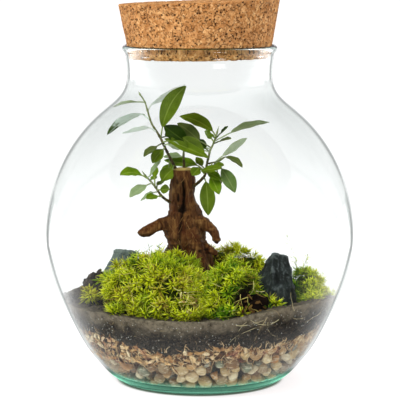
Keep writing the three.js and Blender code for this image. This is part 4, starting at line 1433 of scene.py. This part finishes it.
def leaf_facts(node):
    """Start of the stalk, base, tip and bend of the blade, its width, its upper direction and its fold."""
    both = node_rings(node, 4)
    layers = min(both, key=lambda x: np.ptp(x[1], axis=0).max())
    rings = layers[1:-1]

    def parted(ring):
        pairs = [(0, 1, 2, 3), (0, 2, 1, 3), (0, 3, 1, 2)]
        a, b, c, d = max(pairs, key=lambda p: np.linalg.norm(ring[p[0]] - ring[p[1]]))
        e, f, g, h = max(pairs, key=lambda p: np.linalg.norm(ring[p[2]] - ring[p[3]]))
        if np.linalg.norm(ring[g] - ring[h]) > np.linalg.norm(ring[a] - ring[b]):
            a, b, c, d = g, h, e, f
        return (ring[a] + ring[b]) / 2, (ring[c] + ring[d]) / 2, np.linalg.norm(ring[a] - ring[b])

    start, tip = layers[0][0], layers[-1][0]
    stalk_end = parted(rings[1])[0]
    base = start + (stalk_end - start) / 0.95
    centre, sunk, width = parted(rings[4])
    bend = 2 * (centre - base / 4 - tip / 4)
    return start, base, tip, bend, width, unit(centre - sunk), np.linalg.norm(centre - sunk) / width


def leaf(name, facts, look, seed, nodes=()):
    """A dished blade with a wavy edge, on its stalk."""
    start, base, tip, bend, width, upper, fold = facts
    random = draws(seed)
    rows, half = 34, 7
    t = np.linspace(0, 1, rows + 2)[1:-1]
    t = 0.5 - 0.5 * np.cos(t * math.pi)
    curve = base * ((1 - t) ** 2)[:, None] + bend * (2 * t * (1 - t))[:, None] + tip * (t**2)[:, None]
    tangent = unit(2 * ((1 - t)[:, None] * (bend - base) + t[:, None] * (tip - bend)))
    across = unit(np.cross(tangent, upper))
    up = np.cross(across, tangent)
    wide = width * np.sin(math.pi * t**0.95) ** 0.8
    s = np.sin(np.linspace(-1, 1, 2 * half + 1) * math.pi / 2)
    phase = random.uniform(0, TURN, 2)
    ripple = 0.03 * width * np.sin(t[:, None] * 17 + phase[(s > 0).astype(int)][None]) * np.abs(s) ** 3
    dish = fold * wide[:, None] * (np.abs(s) ** 1.25 - 1)
    middle = curve[:, None] + across[:, None] * (wide[:, None] * s / 2)[..., None]
    middle = middle + up[:, None] * (dish + ripple)[..., None]
    thick = 0.28 * MM * np.sqrt(np.maximum(1 - s**2, 0)) * np.minimum(1, wide[:, None] / (2 * MM))
    above = middle + up[:, None] * thick[..., None]
    below = middle - up[:, None] * thick[..., None]
    ring = np.concatenate([above[:, ::-1], below[:, 1:-1]], 1)
    corners, faces = skin(base, ring, tip)
    columns = ring.shape[1]
    mark_s = np.concatenate([s[::-1], s[1:-1]])
    under = np.concatenate([np.zeros(len(s)), np.ones(len(s) - 2)])
    marks = {
        "across": np.concatenate([[0], np.tile(mark_s, rows), [0]]),
        "along": np.concatenate([[0], np.repeat(t, columns), [1]]),
        "under": np.concatenate([[0], np.tile(under, rows), [0]]),
    }
    parts = [(corners, faces, marks)]
    # the stalk runs on under the blade as its midrib
    last = int(rows * 0.86)
    rib = curve[:last] - up[:last] * (fold * wide[:last, None] + 0.2 * MM)
    foot = start - 1.1 * MM * unit(base - start)
    stalk = foot + (base - foot) * np.linspace(0, 0.85, 6)[:, None]
    path = np.concatenate([stalk, rib[2:]])
    radii = np.concatenate([np.full(6, 0.62 * MM), np.linspace(0.5, 0.16, len(rib) - 2) * MM])
    shape = tube(path, radii, 7)
    parts.append((*shape, {"across": 0.0, "along": 0.5, "under": 1.0}))
    piece(name, joined(parts), look, nodes)


def extra_facts(stem, base, tip, width, upper):
    """What leaf() needs for a leaf that is not in the frame; its stalk starts inside the nearest stem."""
    base, tip = np.array(base) * MM, np.array(tip) * MM
    path = along_curve([ring.mean(0) for ring in stem_rings(stem)], 80)
    start = path[np.argmin(np.linalg.norm(path - base + 2 * MM * UP, axis=1))]
    reach = unit(tip - base)
    upper = unit(np.array(upper) - reach * (np.array(upper) @ reach))
    bend = (base + tip) / 2 + upper * 0.12 * np.linalg.norm(tip - base)
    return start, base, tip, bend, width * MM, upper, 0.16


def leaves():
    looks = {kind: leaf_look("leaf_" + kind, *colours) for kind, colours in LEAF_KINDS.items()}
    tones = {name: kind for kind, names in LEAF_TONES.items() for name in names.split()}
    nodes = sorted(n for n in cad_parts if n.startswith("leaf_"))
    for k, node in enumerate(nodes):
        leaf("ficus_" + node, leaf_facts(node), looks[tones.get(node[5:], "fresh")], 200 + k, [node])
    for k, (*facts, kind) in enumerate(MORE_LEAVES):
        leaf("ficus_leaf_inner_%d" % (k + 1), extra_facts(*facts), looks[kind], 260 + k)


# ---- stage, light and camera -----------------------------------------------------------------


def stage():
    """A glowing floor just under the jar."""
    size = 14.0
    grid = np.array([(x, y, -0.0002) for x in (-size, size) for y in (-size, size)])
    mesh = bpy.data.meshes.new("pale_floor")
    mesh.from_pydata(grid.tolist(), [], [(0, 2, 3, 1)])
    mesh.materials.append(floor_look())
    ground = bpy.data.objects.new("pale_floor", mesh)
    bpy.context.scene.collection.objects.link(ground)


def softbox(name, azimuth, elevation, distance, wide, high, power, spread=180, target=(0, 0, 0.13)):
    """A rectangular lamp as seen from the object: azimuth from the front towards the right."""
    light = bpy.data.lights.new(name, "AREA")
    light.shape = "RECTANGLE"
    light.size, light.size_y = wide, high
    light.energy = power
    light.spread = math.radians(spread)
    lamp = bpy.data.objects.new(name, light)
    a, e = math.radians(azimuth), math.radians(elevation)
    way = np.array([math.sin(a) * math.cos(e), -math.cos(a) * math.cos(e), math.sin(e)])
    lamp.location = np.array(target) + distance * way
    lamp.rotation_euler = (math.radians(90) - e, 0, a)
    lamp.visible_camera = lamp.visible_transmission = False
    lamp.visible_glossy = spread < 180
    bpy.context.scene.collection.objects.link(lamp)


# Name, azimuth and elevation in degrees, distance, width, height, power
SOFTBOXES = (
    ("left_softbox", -104, 16, 1.5, 0.26, 1.0, 3.2),
    ("right_softbox", 126, 16, 1.5, 0.36, 1.0, 4.5),
    ("key_light", -44, 46, 1.6, 0.5, 0.5, 25),
    ("fill_light", 48, 30, 1.6, 0.9, 0.9, 6.5),
    ("top_light", 160, 70, 1.5, 0.8, 0.8, 9),
)
# Lamps that only the neck mirrors: azimuth, width, brightness. Their cone of light is narrow, which
# makes it NARROW times as strong.
NECK_LAMPS = ((-96, 0.34, 11), (31, 0.22, 10), (113, 0.26, 11))
NECK_HIGH, CONE, NARROW = 0.10, 24, 68


def lighting():
    """A white backdrop all round, a dim room in front as the glass mirrors it, and soft lamps."""
    world = bpy.data.worlds.new("studio")
    bpy.context.scene.world = world
    world.use_nodes = True
    sky = Nodes(world.node_tree)
    path = sky.node("LightPath").outputs
    way = sky.node("TexCoord").outputs["Generated"]
    back, up = sky.part_of(way, "Y"), sky.part_of(way, "Z")
    room = sky.plus_steps(sky.between(back, *ROOM[0]), back, ROOM[1:])
    room = sky.times(room, sky.between(up, 0.2, 0.6, 1.0, 0.0))
    overhead = sky.math("MAXIMUM", room, sky.between(up, 0.5, 0.95, 0.0, 0.15))

    def choose(depth, least, other, own):
        """own once a ray has bounced or passed more than this often, and other before that."""
        later = sky.math("GREATER_THAN", path[depth], least)
        return sky.node("Mix", {0: later, 2: other, 3: own}, data_type="FLOAT").outputs[0]

    mirrored = choose("Transmission Depth", 2.5, room, overhead)
    backdrop = sky.tree.nodes["Background"].inputs
    direct = choose("Diffuse Depth", 0.5, 1.1, 0.5)
    sky.fill(backdrop["Strength"], choose("Glossy Depth", 0.5, direct, mirrored))
    sky.fill(backdrop["Color"], (1, 0.965, 0.976, 1))
    for lamp in SOFTBOXES:
        softbox(*lamp)
    for k, (azimuth, wide, glow) in enumerate(NECK_LAMPS):
        power = glow * math.pi * wide * NECK_HIGH / NARROW
        softbox("neck_lamp_%d" % (k + 1), azimuth, -19, 0.55, wide, NECK_HIGH, power, CONE, (0, 0, 0.27))
    scene = bpy.context.scene
    scene.view_settings.view_transform = "Standard"
    cycles = scene.cycles
    cycles.max_bounces = 32
    cycles.diffuse_bounces = 3
    cycles.glossy_bounces = cycles.transmission_bounces = cycles.transparent_max_bounces = 24
    cycles.caustics_reflective = cycles.caustics_refractive = False


EYE, LOOKS_DOWN, LENS, SENSOR = (0.00025, -1.530, 0.350), 7.3777, 165.02, 36


def camera():
    lens = bpy.data.cameras.new("camera")
    lens.lens = LENS
    lens.sensor_width = SENSOR
    lens.clip_end = 100
    eye = bpy.data.objects.new("camera", lens)
    eye.location = EYE
    eye.rotation_euler = (math.radians(90 - LOOKS_DOWN), 0, 0)
    bpy.context.scene.collection.objects.link(eye)
    bpy.context.scene.camera = eye


camera()
lighting()
stage()
glass_jar()
cork_stopper()
soil_low, soil_edge = soil_bed()
pebble_layer()
bark_layer(soil_low)
soil_details(soil_low, soil_edge)
moss()
moss_litter()
slates()
trunk()
stems()
leaves()
